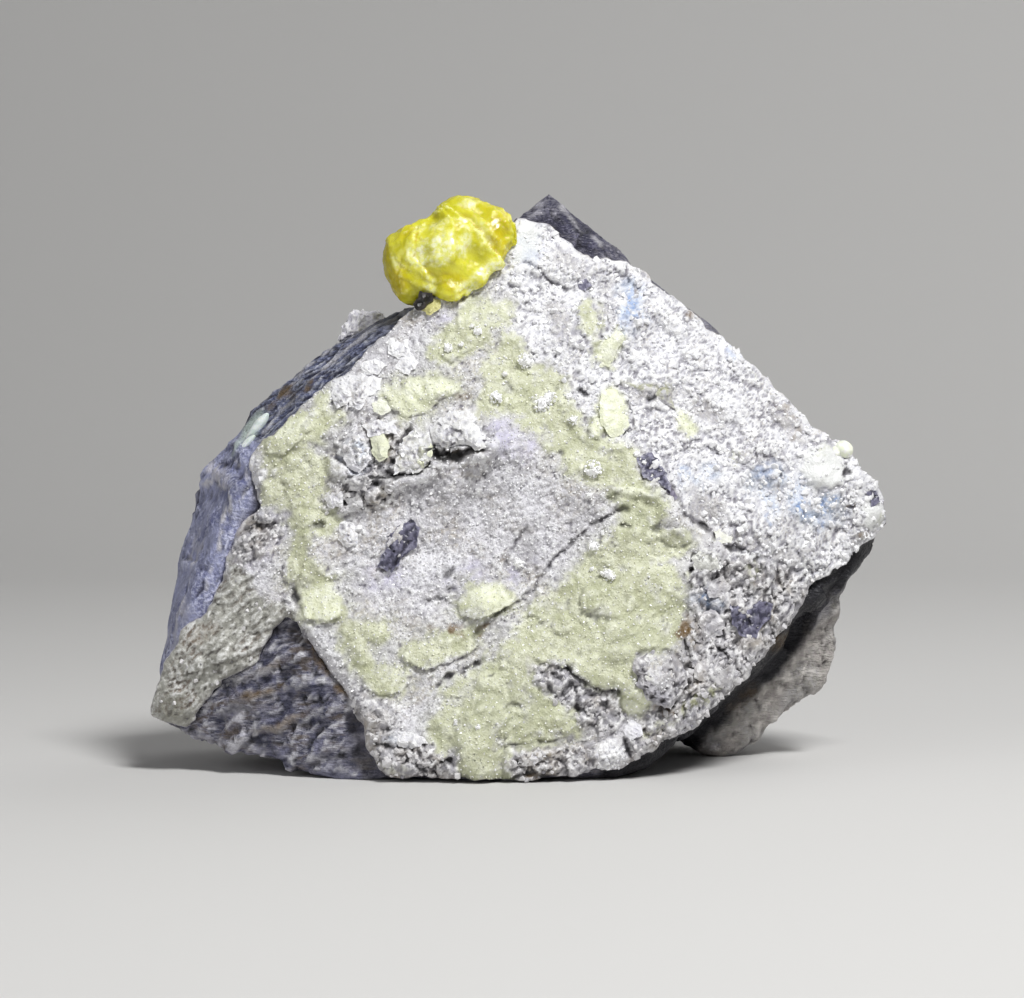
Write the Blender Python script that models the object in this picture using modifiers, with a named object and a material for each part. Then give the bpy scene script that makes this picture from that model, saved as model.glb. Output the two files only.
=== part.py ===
"""A mineral specimen: yellow lobed crystals on a dark rock whose front wears a pale drusy crust.

Metres, +Z up, resting on the rock's flat underside at Z = 0. The crust faces -Y.
The front is a height field: depth Y as a function of X and Z, first as a smooth sheet
through named points, then with the ledges, lumps and grooves of the crust.
"""

import math
import random

import bmesh
import bpy
import numpy as np
from mathutils import Vector, geometry, noise

MM = 0.001
SEED = 7

# Driving dimensions, in millimetres.
CRUST_THICKNESS = 2.4
CRUST_EDGE_THICKNESS = 1.3
CRUST_TAPER = 4.0
LEAST_THICKNESS = 0.8
GAP = 0.4
SIDE_GAP = 0.6
CRUST_POINT_SPACING = 1.75
CRUST_EDGE_SPACING = 1.9
EDGE_RAGGEDNESS = 0.8
LOWEST_CRUST = 0.4
CRUST_TRIANGLES = 4400
SEAT_POINT_SPACING = 4.0
ROCK_RECESS = 0.7
ROCK_VOXEL = 1.0
ROCK_TRIANGLES = 2600
ROCK_ROUGHNESS = 0.8
ROCK_SWELL = 0.15
BASE_SINK = 1.0
CLUSTER_VOXEL = 0.45
CLUSTER_TRIANGLES = 1150
CLUSTER_RIPPLE = 0.35
LOBE_RIPPLE_SIZE = 2.2
LUMP_VOXEL = 0.5
LUMP_TRIANGLES = 220
LUMP_RIPPLE = 0.5
FRONT_LIMIT = -40.0
WELD = 0.004

# The crust's edge as seen from the front, and the depth of the sheet there: (x, z, y) in mm.
CRUST_EDGE = {
    "tip": (-50.8, 7.2, -12.0),
    "left_a": (-49.0, 14.0, -12.0),
    "left_b": (-47.0, 18.0, -12.0),
    "left_c": (-43.5, 21.5, -12.0),
    "left_d": (-41.0, 25.5, -12.0),
    "left_e": (-39.0, 32.5, -11.5),
    "left_f": (-36.0, 36.0, -11.0),
    "left_g": (-37.5, 42.5, -10.0),
    "left_h": (-32.5, 47.5, -9.0),
    "left_i": (-24.5, 54.0, -7.0),
    "left_j": (-17.0, 60.5, -5.0),
    "foot_left": (-13.5, 63.5, -4.0),
    "foot_right": (-3.5, 69.0, -2.0),
    "top_a": (-1.0, 75.0, 0.0),
    "top_b": (3.0, 74.5, 2.0),
    "top_c": (8.0, 70.0, 2.0),
    "top_d": (12.0, 70.0, 2.0),
    "top_e": (15.0, 68.5, 3.0),
    "right_b": (23.0, 62.5, 2.0),
    "right_c": (32.0, 54.5, 1.0),
    "right_d": (38.3, 47.6, 1.0),
    "right_e": (45.6, 42.2, 2.0),
    "right_f": (50.0, 37.6, 4.0),
    "right_g": (50.9, 32.5, 4.0),
    "lower_right_a": (46.0, 29.0, 0.0),
    "lower_right_b": (39.5, 24.5, -4.0),
    "lower_right_c": (33.5, 16.5, -9.0),
    "lower_right_d": (27.5, 10.5, -14.0),
    "lower_right_e": (21.0, 5.5, -19.0),
    "lower_right_f": (11.5, 1.5, -22.0),
    "bottom_a": (4.5, 0.8, -24.0),
    "bottom_b": (-3.0, 0.4, -24.7),
    "bottom_c": (-11.0, 0.6, -24.5),
    "bottom_d": (-19.0, 0.8, -23.5),
    "bare_a": (-21.0, 5.5, -22.0),
    "bare_b": (-23.0, 10.0, -20.0),
    "bare_c": (-27.5, 16.5, -18.0),
    "bare_apex": (-32.0, 21.5, -16.0),
    "bare_d": (-35.0, 16.5, -16.0),
    "bare_e": (-38.5, 14.0, -16.0),
    "bare_f": (-43.5, 10.0, -15.0),
    "bare_g": (-45.0, 5.8, -14.0),
}

# Depth of the sheet inside that edge: (x, z, y) in mm.
CRUST_INSIDE = {
    "upper_right": (10.5, 60.0, -3.0),
    "right_high": (24.0, 50.0, -3.5),
    "brow": (10.5, 45.0, -10.0),
    "fold_a": (19.0, 37.5, -11.5),
    "fold_b": (28.5, 30.5, -10.5),
    "far_right": (38.0, 36.5, -4.5),
    "green_high": (15.5, 31.5, -13.5),
    "green_low": (15.5, 21.0, -16.5),
    "low_right": (10.0, 10.5, -20.5),
    "neck": (1.0, 47.5, -10.0),
    "under_cluster": (-7.5, 57.0, -6.5),
    "shelf": (-14.0, 46.5, -10.5),
    "hollow_a": (-7.5, 37.0, -12.0),
    "hollow_b": (-16.5, 29.0, -14.0),
    "hollow_c": (2.0, 29.0, -14.5),
    "left_column": (-29.0, 31.5, -13.0),
    "left_top": (-26.5, 46.5, -10.0),
    "low_middle": (-11.0, 18.5, -18.5),
    "low_left": (-19.0, 13.5, -20.0),
    "tongue": (-3.0, 8.0, -22.5),
    "bare_middle": (-30.0, 10.0, -17.5),
}

# Scarps: the side on the left of the path stands out towards -Y.
# (path of (x, z) in mm, height, how far the raised side carries, width of the drop)
SCARPS = {
    "overhang": ([(-3.0, 48.0), (-3.8, 45.0), (-10.0, 44.4), (-12.5, 41.6), (-25.5, 40.6)], 3.4, 5.0, 0.9),
    "fold": ([(38.5, 26.0), (29.0, 30.5), (22.5, 34.0), (18.5, 38.0), (15.0, 43.0)], 1.4, 7.0, 1.2),
    "right_block": ([(22.5, 10.0), (23.5, 18.0), (22.5, 24.0), (22.0, 29.0)], 1.1, 6.0, 1.0),
    "low_step": ([(-1.0, 9.5), (2.0, 11.5), (6.0, 13.0), (10.5, 12.4), (15.5, 10.5)], 1.0, 4.0, 0.9),
    "bare_rim": ([(-21.0, 4.0), (-22.0, 10.0), (-26.5, 16.5), (-31.5, 22.5)], 0.8, 4.0, 0.8),
    "under_crest": ([(-12.5, 50.0), (-20.0, 50.5), (-26.0, 49.5)], 1.0, 4.0, 1.0),
}

# Grooves: (path of (x, z) in mm, depth, half width)
GROOVES = {
    "long_crack": ([(11.5, 35.5), (7.0, 32.5), (2.8, 27.0), (-2.0, 22.0), (-11.0, 14.5)], 1.0, 0.8),
    "right_crevice": ([(22.5, 34.5), (28.0, 31.0), (34.0, 28.5), (38.5, 26.0)], 0.9, 0.8),
    "low_crevice": ([(8.5, 13.2), (12.5, 11.5), (15.0, 9.5)], 0.8, 0.8),
}

# Lumps on the crust: (x, z, half width, half height, how far it stands out), all in mm.
LUMPS = {
    "grainy_knob": (18.0, 13.5, 3.9, 4.2, 4.0),
    "small_knob": (15.8, 6.2, 1.9, 2.0, 1.4),
    "green_left_top": (-29.5, 45.0, 4.5, 2.8, 1.4),
    "green_left_mid": (-31.0, 37.5, 3.2, 3.4, 1.2),
    "green_column": (-28.5, 29.0, 3.0, 4.5, 1.2),
    "green_under_chip": (-22.5, 20.0, 2.8, 3.0, 1.1),
    "green_middle": (-5.0, 22.0, 3.4, 2.6, 1.4),
    "green_belly": (13.0, 20.0, 7.0, 7.5, 1.2),
    "green_shoulder": (14.0, 32.5, 4.6, 3.6, 1.0),
    "green_tongue": (-7.0, 6.0, 5.0, 5.5, 1.3),
    "green_crown": (-8.0, 52.5, 5.5, 4.0, 1.1),
    "plate_lobe_a": (-17.5, 43.2, 2.0, 2.1, 1.3),
    "plate_lobe_b": (-22.0, 44.0, 1.8, 2.4, 1.1),
    "plate_lobe_c": (-13.6, 43.4, 1.9, 2.0, 1.2),
    "white_plate": (-7.5, 46.0, 3.4, 1.9, 1.6),
    "white_left": (-22.8, 50.0, 2.6, 2.3, 1.0),
    "rock_chip_left": (-17.0, 31.0, 2.6, 3.6, 0.9),
    "rock_chip_right": (18.0, 41.0, 1.9, 1.8, 1.1),
    "pitted_knob": (-20.0, 8.8, 2.0, 1.9, 1.3),
    "pale_bowl": (24.5, 29.5, 2.1, 1.6, 1.2),
    "right_lump_a": (14.0, 60.5, 3.6, 3.0, 1.0),
    "right_lump_b": (20.0, 54.0, 3.8, 3.4, 0.9),
    "right_lump_c": (30.0, 45.0, 4.6, 3.6, 0.9),
    "right_lump_d": (41.5, 38.0, 4.2, 3.4, 1.0),
    "dark_patch": (29.5, 21.0, 3.6, 2.6, 0.8),
    "corner_block": (48.0, 34.5, 2.6, 3.2, 0.8),
}

# Right of this path of (x, z) the crust is a crumble of flat-faced blocks; left of it, smooth druse.
BLOCKY_BOUNDARY = [(2.0, 80.0), (6.0, 58.0), (15.0, 44.0), (21.0, 34.0), (22.0, 18.0), (14.0, -4.0)]
BLOCK_SPACING = 4.2
BLOCK_JITTER = 1.7
BLOCK_HEIGHT = 0.85
BLOCK_TILT = 0.34
SMOOTH_BLOCK_SHARE = 0.4

# Corners of the rock: (x, y, z) in mm. Its front corners stand a little behind the crust's face.
MAIN_BLOCK = {
    "tip": (-50.9, -9.0, 6.9),
    "left_front": (-43.2, -11.6, 26.8),
    "left_upper_front": (-36.5, -10.2, 43.0),
    "crest_front_left": (-20.0, -5.0, 58.0),
    "crest_front": (-13.8, -2.8, 62.6),
    "right_front_upper": (32.0, 1.6, 54.2),
    "right_corner_front": (50.2, 4.6, 32.6),
    "lower_right_front": (38.3, -3.2, 24.6),
    "lower_right_low": (27.3, -13.2, 10.3),
    "base_right_front": (11.0, -20.8, 0.0),
    "base_left_front": (-21.5, -21.5, 0.0),
    "notch": (-33.5, -16.0, 4.0),
    "under_tip": (-43.6, -12.0, 4.3),
    "left_side_low": (-49.8, 0.0, 14.7),
    "left_side_middle": (-48.0, 3.0, 27.8),
    "left_side_high": (-46.1, 4.0, 36.1),
    "left_shoulder": (-43.4, 5.0, 41.1),
    "upper_left": (-36.8, 5.0, 49.0),
    "crest_left": (-27.1, 6.0, 57.7),
    "crest_middle": (-15.8, 3.0, 63.6),
    "crest_right": (24.0, 7.0, 62.8),
    "right_edge_high": (38.0, 6.0, 47.0),
    "right_edge_low": (45.4, 7.0, 41.0),
    "right_corner": (50.7, 8.0, 34.8),
    "right_corner_low": (50.6, 9.0, 31.0),
    "side_low": (44.5, 6.0, 25.5),
    "side_lower": (36.0, 5.0, 15.5),
    "side_foot": (22.5, 1.0, 3.4),
    "back_left_low": (-42.0, 15.0, 9.0),
    "back_left_high": (-36.0, 19.0, 38.0),
    "back_high_left": (-18.0, 20.0, 55.0),
    "back_high": (14.0, 20.0, 58.0),
    "back_right": (36.0, 21.0, 38.0),
    "back_right_low": (38.0, 22.0, 18.0),
    "back_swell": (-4.0, 25.0, 30.0),
    "back_swell_right": (20.0, 25.0, 26.0),
    "base_back_left": (-24.0, 21.0, 0.0),
    "base_back_right": (12.0, 23.0, 0.0),
    "base_left": (-36.0, -4.0, 3.6),
    "back_left_foot": (-36.0, 16.0, 5.0),
}
PEAK_BLOCK = {
    "left_foot_front": (-5.5, -0.4, 68.0),
    "left_front": (-2.2, 0.8, 73.4),
    "notch": (-1.4, 4.0, 75.2),
    "summit": (3.4, 6.0, 79.2),
    "summit_front": (3.6, 3.6, 77.6),
    "right_top": (9.3, 6.0, 74.0),
    "right_front": (11.8, 3.2, 69.9),
    "right_end": (15.5, 7.0, 68.9),
    "right_slope": (24.0, 7.0, 62.4),
    "right_foot": (22.0, 3.6, 60.0),
    "low_front": (0.0, -1.0, 58.0),
    "low_left": (-16.0, 4.0, 60.0),
    "back": (4.0, 17.0, 70.0),
    "back_left": (-12.0, 17.0, 58.0),
    "back_right": (18.0, 18.0, 58.0),
    "back_low": (6.0, 19.0, 54.0),
}
REAR_LEDGE = {
    "knob_top": (44.2, 5.2, 23.0),
    "knob_side": (44.7, 6.5, 20.6),
    "side": (43.6, 6.0, 13.8),
    "lower_side": (40.8, 5.6, 9.2),
    "low_corner": (38.0, 5.2, 6.6),
    "low_edge": (32.8, 5.0, 3.2),
    "foot_tip": (27.9, 4.6, 0.0),
    "foot_left": (23.2, 4.0, 1.8),
    "inner_top": (38.0, 6.0, 24.0),
    "inner_left": (22.0, 2.0, 8.0),
    "back_top": (40.0, 20.0, 22.0),
    "back_side": (37.0, 21.0, 8.0),
    "back_foot": (25.0, 20.0, 3.0),
    "back_inner": (14.0, 23.0, 4.0),
}

# Lobes of the yellow crystals: (x, y, z, half width, half depth, half height) in mm.
CLUSTER_LOBES = {
    "left": (-15.4, 0.4, 69.3, 4.2, 4.3, 5.0),
    "left_low": (-15.0, -0.6, 66.4, 3.4, 3.8, 3.3),
    "middle": (-10.7, -1.4, 69.8, 4.1, 4.4, 5.0),
    "skirt": (-8.6, -1.2, 66.0, 3.6, 3.2, 3.6),
    "upper": (-8.2, 1.6, 74.2, 4.5, 4.2, 4.3),
    "right": (-4.6, 0.4, 72.4, 4.3, 4.2, 4.5),
}
REAR_LUMP_LOBES = {
    "low": (-23.8, 9.0, 58.9, 2.2, 2.4, 2.2),
    "high": (-23.2, 9.4, 60.8, 1.9, 2.0, 1.9),
    "right": (-20.6, 9.0, 60.9, 1.7, 2.0, 1.8),
}
GREEN_BUD = (44.0, 2.2, 42.6, 1.3, 1.9, 1.7)


def clear_scene():
    """Remove what the startup file holds."""
    for obj in list(bpy.data.objects):
        bpy.data.objects.remove(obj, do_unlink=True)


def new_collection(name):
    collection = bpy.data.collections.new(name)
    bpy.context.scene.collection.children.link(collection)
    return collection


def to_linear(channel):
    """One sRGB channel, 0 to 1, as linear light."""
    return channel / 12.92 if channel <= 0.04045 else ((channel + 0.055) / 1.055) ** 2.4


def material(name, hex_colour, roughness):
    """A Principled material from an sRGB hex colour."""
    made = bpy.data.materials.new(name)
    made.use_nodes = True
    shader = made.node_tree.nodes["Principled BSDF"]
    channels = [int(hex_colour[i : i + 2], 16) / 255 for i in (0, 2, 4)]
    shader.inputs["Base Color"].default_value = [*map(to_linear, channels), 1.0]
    shader.inputs["Roughness"].default_value = roughness
    shader.inputs["Metallic"].default_value = 0.0
    return made


def object_from_bmesh(bm, name, collection):
    """Close off a bmesh as an object of the collection."""
    bmesh.ops.recalc_face_normals(bm, faces=bm.faces[:])
    mesh = bpy.data.meshes.new(name)
    bm.to_mesh(mesh)
    bm.free()
    made = bpy.data.objects.new(name, mesh)
    collection.objects.link(made)
    return made


def apply_modifiers(obj):
    """Replace the object's mesh by its evaluated one."""
    bpy.context.view_layer.update()
    graph = bpy.context.evaluated_depsgraph_get()
    mesh = bpy.data.meshes.new_from_object(obj.evaluated_get(graph))
    obj.modifiers.clear()
    obj.data = mesh


class SmoothSheet:
    """A smooth depth y(x, z) through given points: a thin-plate spline."""

    def __init__(self, points):
        table = np.array(list(points), float)
        self.places = table[:, :2]
        count = len(table)
        system = np.zeros((count + 3, count + 3))
        system[:count, :count] = self.bend(self.places, self.places)
        system[:count, count] = 1.0
        system[:count, count + 1 :] = self.places
        system[count, :count] = 1.0
        system[count + 1 :, :count] = self.places.T
        self.weights = np.linalg.solve(system, np.append(table[:, 2], np.zeros(3)))

    @staticmethod
    def bend(places, centres):
        squared = ((places[:, None] - centres[None]) ** 2).sum(axis=2)
        return squared * np.log(np.maximum(squared, 1e-9)) / 2

    def __call__(self, places):
        count = len(self.places)
        bent = self.bend(places, self.places) @ self.weights[:count]
        return bent + self.weights[count] + places @ self.weights[count + 1 :]


def nearest_on_path(places, path):
    """(distance, signed side, share of the length) from the nearest place on a path of (x, z)."""
    path = np.array(path, float)
    lengths = np.linalg.norm(np.diff(path, axis=0), axis=1)
    starts = np.concatenate([[0.0], np.cumsum(lengths)])
    best = np.full(len(places), np.inf)
    side = np.zeros(len(places))
    share = np.zeros(len(places))
    for start, end, length, before in zip(path[:-1], path[1:], lengths, starts):
        along = (end - start) / length
        offset = places - start
        travel = np.clip(offset @ along, 0.0, length)
        distance = np.linalg.norm(offset - travel[:, None] * along, axis=1)
        nearer = distance < best
        turn = along[0] * offset[:, 1] - along[1] * offset[:, 0]
        best = np.where(nearer, distance, best)
        side = np.where(nearer, np.sign(turn), side)
        share = np.where(nearer, (before + travel) / starts[-1], share)
    return best, side, share


def smooth_rise(value):
    """0 below 0, 1 above 1, smooth between."""
    value = np.clip(value, 0.0, 1.0)
    return value * value * (3 - 2 * value)


def scarp_relief(places, path, height, carry, width):
    """A step along the path that fades away behind its raised side and at its ends."""
    distance, side, share = nearest_on_path(places, path)
    signed = distance * side
    ends = smooth_rise(share / 0.15) * smooth_rise((1 - share) / 0.15)
    return height * ends * smooth_rise(signed / width + 0.5) * np.exp(-np.maximum(signed, 0) / carry)


def groove_relief(places, path, depth, half_width):
    distance, _, share = nearest_on_path(places, path)
    ends = smooth_rise(share / 0.1) * smooth_rise((1 - share) / 0.1)
    return -depth * ends * np.exp(-((distance / half_width) ** 2))


def lump_relief(places, x, z, half_width, half_height, height):
    squared = ((places[:, 0] - x) / half_width) ** 2 + ((places[:, 1] - z) / half_height) ** 2
    return height * np.sqrt(np.clip(1 - squared, 0.0, 1.0))


def block_relief(places, rng):
    """Flat-faced blocks: each place takes the height and tilt of its nearest block."""
    across = np.arange(places[:, 0].min(), places[:, 0].max() + BLOCK_SPACING, BLOCK_SPACING)
    up = np.arange(places[:, 1].min(), places[:, 1].max() + BLOCK_SPACING, BLOCK_SPACING)
    centres = np.array([(x, z) for x in across for z in up])
    centres += [[rng.uniform(-BLOCK_JITTER, BLOCK_JITTER) for _ in range(2)] for _ in centres]
    heights = np.array([rng.uniform(-BLOCK_HEIGHT, BLOCK_HEIGHT) for _ in centres])
    tilts = np.array([(rng.gauss(0, BLOCK_TILT), rng.gauss(0, BLOCK_TILT)) for _ in centres])
    nearest = ((places[:, None] - centres[None]) ** 2).sum(axis=2).argmin(axis=1)
    offset = places - centres[nearest]
    return heights[nearest] + (tilts[nearest] * offset).sum(axis=1)


def crust_relief(places, rng):
    """How far the crust stands out of the smooth sheet, in mm, at each (x, z)."""
    distance, side, _ = nearest_on_path(places, BLOCKY_BOUNDARY)
    blocky = smooth_rise(0.5 + distance * side / 5.0)
    relief = block_relief(places, rng) * (SMOOTH_BLOCK_SHARE + (1 - SMOOTH_BLOCK_SHARE) * blocky)
    for path, height, carry, width in SCARPS.values():
        relief += scarp_relief(places, path, height, carry, width)
    for path, depth, half_width in GROOVES.values():
        relief += groove_relief(places, path, depth, half_width)
    lumps = [lump_relief(places, *lump) for lump in LUMPS.values()]
    relief += np.max(lumps, axis=0)
    ripple = [noise.fractal(Vector((x / 5.0, 3.1, z / 5.0)), 0.9, 2.2, 3) for x, z in places]
    return relief + 0.5 * np.array(ripple)


def edge_points():
    """The crust's ragged edge: its named points, with more between them moved in and out."""
    named = np.array([(x, z) for x, z, _ in CRUST_EDGE.values()])
    loop = resample_loop(named, CRUST_EDGE_SPACING)
    pushes = [noise.fractal(Vector((x / 3.5, 1.7, z / 3.5)), 0.8, 2.1, 3) for x, z in loop]
    ragged = offset_loop(loop, EDGE_RAGGEDNESS * np.array(pushes))
    ragged[:, 1] = np.maximum(ragged[:, 1], LOWEST_CRUST)
    return ragged


def resample_loop(loop, spacing):
    """Points every spacing or so along each side of a closed loop, its corners kept."""
    points = []
    for start, end in zip(loop, np.roll(loop, -1, axis=0)):
        steps = max(1, round(np.linalg.norm(end - start) / spacing))
        points += [start + (end - start) * i / steps for i in range(steps)]
    return np.array(points)


def offset_loop(loop, distance):
    """A closed clockwise loop moved outwards, by one distance or one for each point."""
    distance = np.broadcast_to(distance, len(loop))
    before = loop - np.roll(loop, 1, axis=0)
    after = np.roll(loop, -1, axis=0) - loop
    moved = []
    for place, first, second, reach in zip(loop, before, after, distance):
        first = first / np.linalg.norm(first)
        second = second / np.linalg.norm(second)
        normals = np.array([[-first[1], first[0]], [-second[1], second[0]]])
        bisector = normals.sum(axis=0)
        bisector = bisector / np.linalg.norm(bisector)
        moved.append(place + bisector * reach / max(0.5, float(bisector @ normals[0])))
    return np.array(moved)


def inside_loop(places, loop):
    """Whether each (x, z) lies inside the loop, by the even-odd rule."""
    inside = np.zeros(len(places), bool)
    for (x0, z0), (x1, z1) in zip(loop, np.roll(loop, -1, axis=0)):
        crosses = (z0 > places[:, 1]) != (z1 > places[:, 1])
        rise = z1 - z0 if z1 != z0 else 1e-9
        inside ^= crosses & (places[:, 0] < (x1 - x0) * (places[:, 1] - z0) / rise + x0)
    return inside


def fill_points(loop, spacing, clearance, jitter, rng):
    """Jittered points on a triangular grid inside the loop and clear of its edge."""
    low, high = loop.min(axis=0), loop.max(axis=0)
    rows = np.arange(low[1], high[1], spacing * math.sqrt(3) / 2)
    points = []
    for index, z in enumerate(rows):
        for x in np.arange(low[0] + (index % 2) * spacing / 2, high[0], spacing):
            points.append((x + rng.uniform(-jitter, jitter), z + rng.uniform(-jitter, jitter)))
    points = np.array(points)
    closed = np.vstack([loop, loop[:1]])
    distance = nearest_on_path(points, closed)[0]
    return points[inside_loop(points, loop) & (distance > clearance)]


def triangulate(loop, inner):
    """A bmesh of flat triangles at Y = 0 between the loop and the inner points, in mm."""
    places = [Vector(place) for place in np.vstack([loop, inner])]
    face = list(range(len(loop)))
    sides = [(i, (i + 1) % len(loop)) for i in face]
    points, _, faces, *_ = geometry.delaunay_2d_cdt(places, sides, [face], 1, 1e-4)
    bm = bmesh.new()
    verts = [bm.verts.new((x, 0.0, z)) for x, z in points]
    for corners in faces:
        bm.faces.new([verts[i] for i in corners])
    return bm


def places_of(verts):
    return np.array([(v.co.x, v.co.z) for v in verts])


def set_depth(verts, depths):
    for vert, depth in zip(verts, depths):
        vert.co.y = depth


def crust_back(places, sheet):
    """Depth of the crust's smooth back: thin along its edge and full inside."""
    closed = np.vstack([edge_points(), edge_points()[:1]])
    share = smooth_rise(nearest_on_path(places, closed)[0] / CRUST_TAPER)
    return sheet(places) + CRUST_EDGE_THICKNESS + (CRUST_THICKNESS - CRUST_EDGE_THICKNESS) * share


def thicken(bm, back_depths):
    """Close an open sheet into a solid whose back lies at the given depths."""
    front = bm.verts[:]
    made = bmesh.ops.extrude_face_region(bm, geom=bm.faces[:])
    back = [item for item in made["geom"] if isinstance(item, bmesh.types.BMVert)]
    set_depth(back, back_depths(places_of(back)))
    return front, back


def scale_to_metres(bm):
    bmesh.ops.scale(bm, vec=(MM, MM, MM), verts=bm.verts[:])


def decimate(obj, triangles):
    """Thin the mesh to about so many triangles."""
    bm = bmesh.new()
    bm.from_mesh(obj.data)
    bmesh.ops.triangulate(bm, faces=bm.faces[:])
    bm.to_mesh(obj.data)
    bm.free()
    thinner = obj.modifiers.new("Decimate", "DECIMATE")
    thinner.ratio = min(1.0, triangles / len(obj.data.polygons))
    apply_modifiers(obj)


def voxel_join(obj, voxel):
    """Fuse the object's overlapping shells into one skin."""
    remesh = obj.modifiers.new("Fuse", "REMESH")
    remesh.mode = "VOXEL"
    remesh.voxel_size = voxel * MM
    apply_modifiers(obj)


def boolean(obj, other, operation):
    """Cut or join with the exact solver, which copes with a cutter that folds over itself."""
    cut = obj.modifiers.new(operation.title(), "BOOLEAN")
    cut.operation = operation
    cut.object = other
    cut.solver = "EXACT"
    cut.use_self = True
    apply_modifiers(obj)


def inflated_copy(obj, distance, cutters):
    """A cutter a little larger all round than the object."""
    copy = bpy.data.objects.new(f"around_{obj.name}", obj.data.copy())
    cutters.objects.link(copy)
    swell = copy.modifiers.new("Swell", "DISPLACE")
    swell.mid_level = 0.0
    swell.strength = distance * MM
    apply_modifiers(copy)
    return copy


def keep_largest_shell(obj):
    """Weld the slivers that a cut leaves, and drop the crumbs beside the main body."""
    bm = bmesh.new()
    bm.from_mesh(obj.data)
    bmesh.ops.remove_doubles(bm, verts=bm.verts[:], dist=WELD * MM)
    left = set(bm.verts)
    shells = []
    while left:
        shell, front = set(), [left.pop()]
        while front:
            vert = front.pop()
            shell.add(vert)
            near = {edge.other_vert(vert) for edge in vert.link_edges} & left
            left -= near
            front.extend(near)
        shells.append(shell)
    shells.sort(key=len)
    for shell in shells[:-1]:
        bmesh.ops.delete(bm, geom=list(shell), context="VERTS")
    bm.to_mesh(obj.data)
    bm.free()


def add_hull(bm, corners):
    """Add the convex hull of named corners, in mm, to a bmesh in metres."""
    verts = [bm.verts.new(Vector(corner) * MM) for corner in corners.values()]
    made = bmesh.ops.convex_hull(bm, input=verts)
    spare = {item for item in made["geom_interior"] if isinstance(item, bmesh.types.BMVert)}
    bmesh.ops.delete(bm, geom=list(spare), context="VERTS")


def add_lobe(bm, x, y, z, half_width, half_depth, half_height):
    """Add an ellipsoid, in mm, to a bmesh in metres."""
    made = bmesh.ops.create_icosphere(bm, subdivisions=3, radius=1.0)
    bmesh.ops.scale(bm, vec=Vector((half_width, half_depth, half_height)) * MM, verts=made["verts"])
    bmesh.ops.translate(bm, vec=Vector((x, y, z)) * MM, verts=made["verts"])


def roughen(obj, amplitude, size, layers, swell=0.0):
    """Move each vertex along its normal by layered noise; layers holds the noise's stretch per axis."""
    for vert in obj.data.vertices:
        place = Vector([value / (MM * size * stretch) for value, stretch in zip(vert.co, layers)])
        push = noise.fractal(place, 0.8, 2.1, 4)
        vert.co += vert.normal * (swell + amplitude * push) * MM


def hold_behind(obj, sheet, recess):
    """Push back what stands in front of the sheet."""
    verts = obj.data.vertices
    places = np.array([(vert.co.x / MM, vert.co.z / MM) for vert in verts])
    limits = sheet(places) + recess
    for vert, limit, (x, z) in zip(verts, limits, places):
        ripple = 0.35 * noise.fractal(Vector((x / 5.0, 8.7, z / 5.0)), 0.9, 2.2, 3)
        vert.co.y = max(vert.co.y, (limit + ripple) * MM)


def cut_flat_base(obj, cutters):
    """Take away what lies below Z = 0, which leaves a flat face to rest on."""
    bm = bmesh.new()
    bmesh.ops.create_cube(bm, size=0.2)
    bmesh.ops.translate(bm, vec=(0.0, 0.0, -0.1), verts=bm.verts[:])
    ground = object_from_bmesh(bm, "ground_cutter", cutters)
    boolean(obj, ground, "DIFFERENCE")


def make_crust(sheet, parts, rng):
    """The crust: relief in front, a smooth back that follows the rock."""
    loop = edge_points()
    inner = fill_points(loop, CRUST_POINT_SPACING, 0.75 * CRUST_POINT_SPACING, 0.35, rng)
    bm = triangulate(loop, inner)
    front, _ = thicken(bm, lambda places: crust_back(places, sheet))
    places = places_of(front)
    faces_front = sheet(places) - crust_relief(places, rng)
    set_depth(front, np.minimum(faces_front, crust_back(places, sheet) - LEAST_THICKNESS))
    scale_to_metres(bm)
    crust = object_from_bmesh(bm, "drusy_crust", parts)
    decimate(crust, CRUST_TRIANGLES)
    return crust


def add_bud(crust, parts):
    """Grow the small green crystal bud out of the crust's right corner."""
    bm = bmesh.new()
    add_lobe(bm, *GREEN_BUD)
    bud = object_from_bmesh(bm, "bud", parts)
    decimate(bud, 80)
    boolean(crust, bud, "UNION")
    bpy.data.objects.remove(bud)


def make_crust_seat(sheet, cutters, rng):
    """The cutter that gives the rock a bed for the crust, a gap wider all round."""
    loop = offset_loop(edge_points(), SIDE_GAP)
    inner = fill_points(loop, SEAT_POINT_SPACING, 0.75 * SEAT_POINT_SPACING, 0.4, rng)
    bm = triangulate(loop, inner)
    front, back = thicken(bm, lambda places: crust_back(places, sheet) + GAP)
    set_depth(front, [FRONT_LIMIT] * len(front))
    scale_to_metres(bm)
    return object_from_bmesh(bm, "crust_seat_cutter", cutters)


def make_rock(sheet, seat, parts, cutters):
    """The dark rock: three angular blocks fused, broken up along its layers, flat below."""
    bm = bmesh.new()
    for block in (MAIN_BLOCK, PEAK_BLOCK, REAR_LEDGE):
        lowered = {name: (x, y, z if z > 0 else -BASE_SINK) for name, (x, y, z) in block.items()}
        add_hull(bm, lowered)
    rock = object_from_bmesh(bm, "host_rock", parts)
    voxel_join(rock, ROCK_VOXEL)
    roughen(rock, ROCK_ROUGHNESS, 9.0, (1.6, 1.0, 0.6), ROCK_SWELL)
    hold_behind(rock, sheet, ROCK_RECESS)
    decimate(rock, ROCK_TRIANGLES)
    cut_flat_base(rock, cutters)
    boolean(rock, seat, "DIFFERENCE")
    keep_largest_shell(rock)
    return rock


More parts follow.
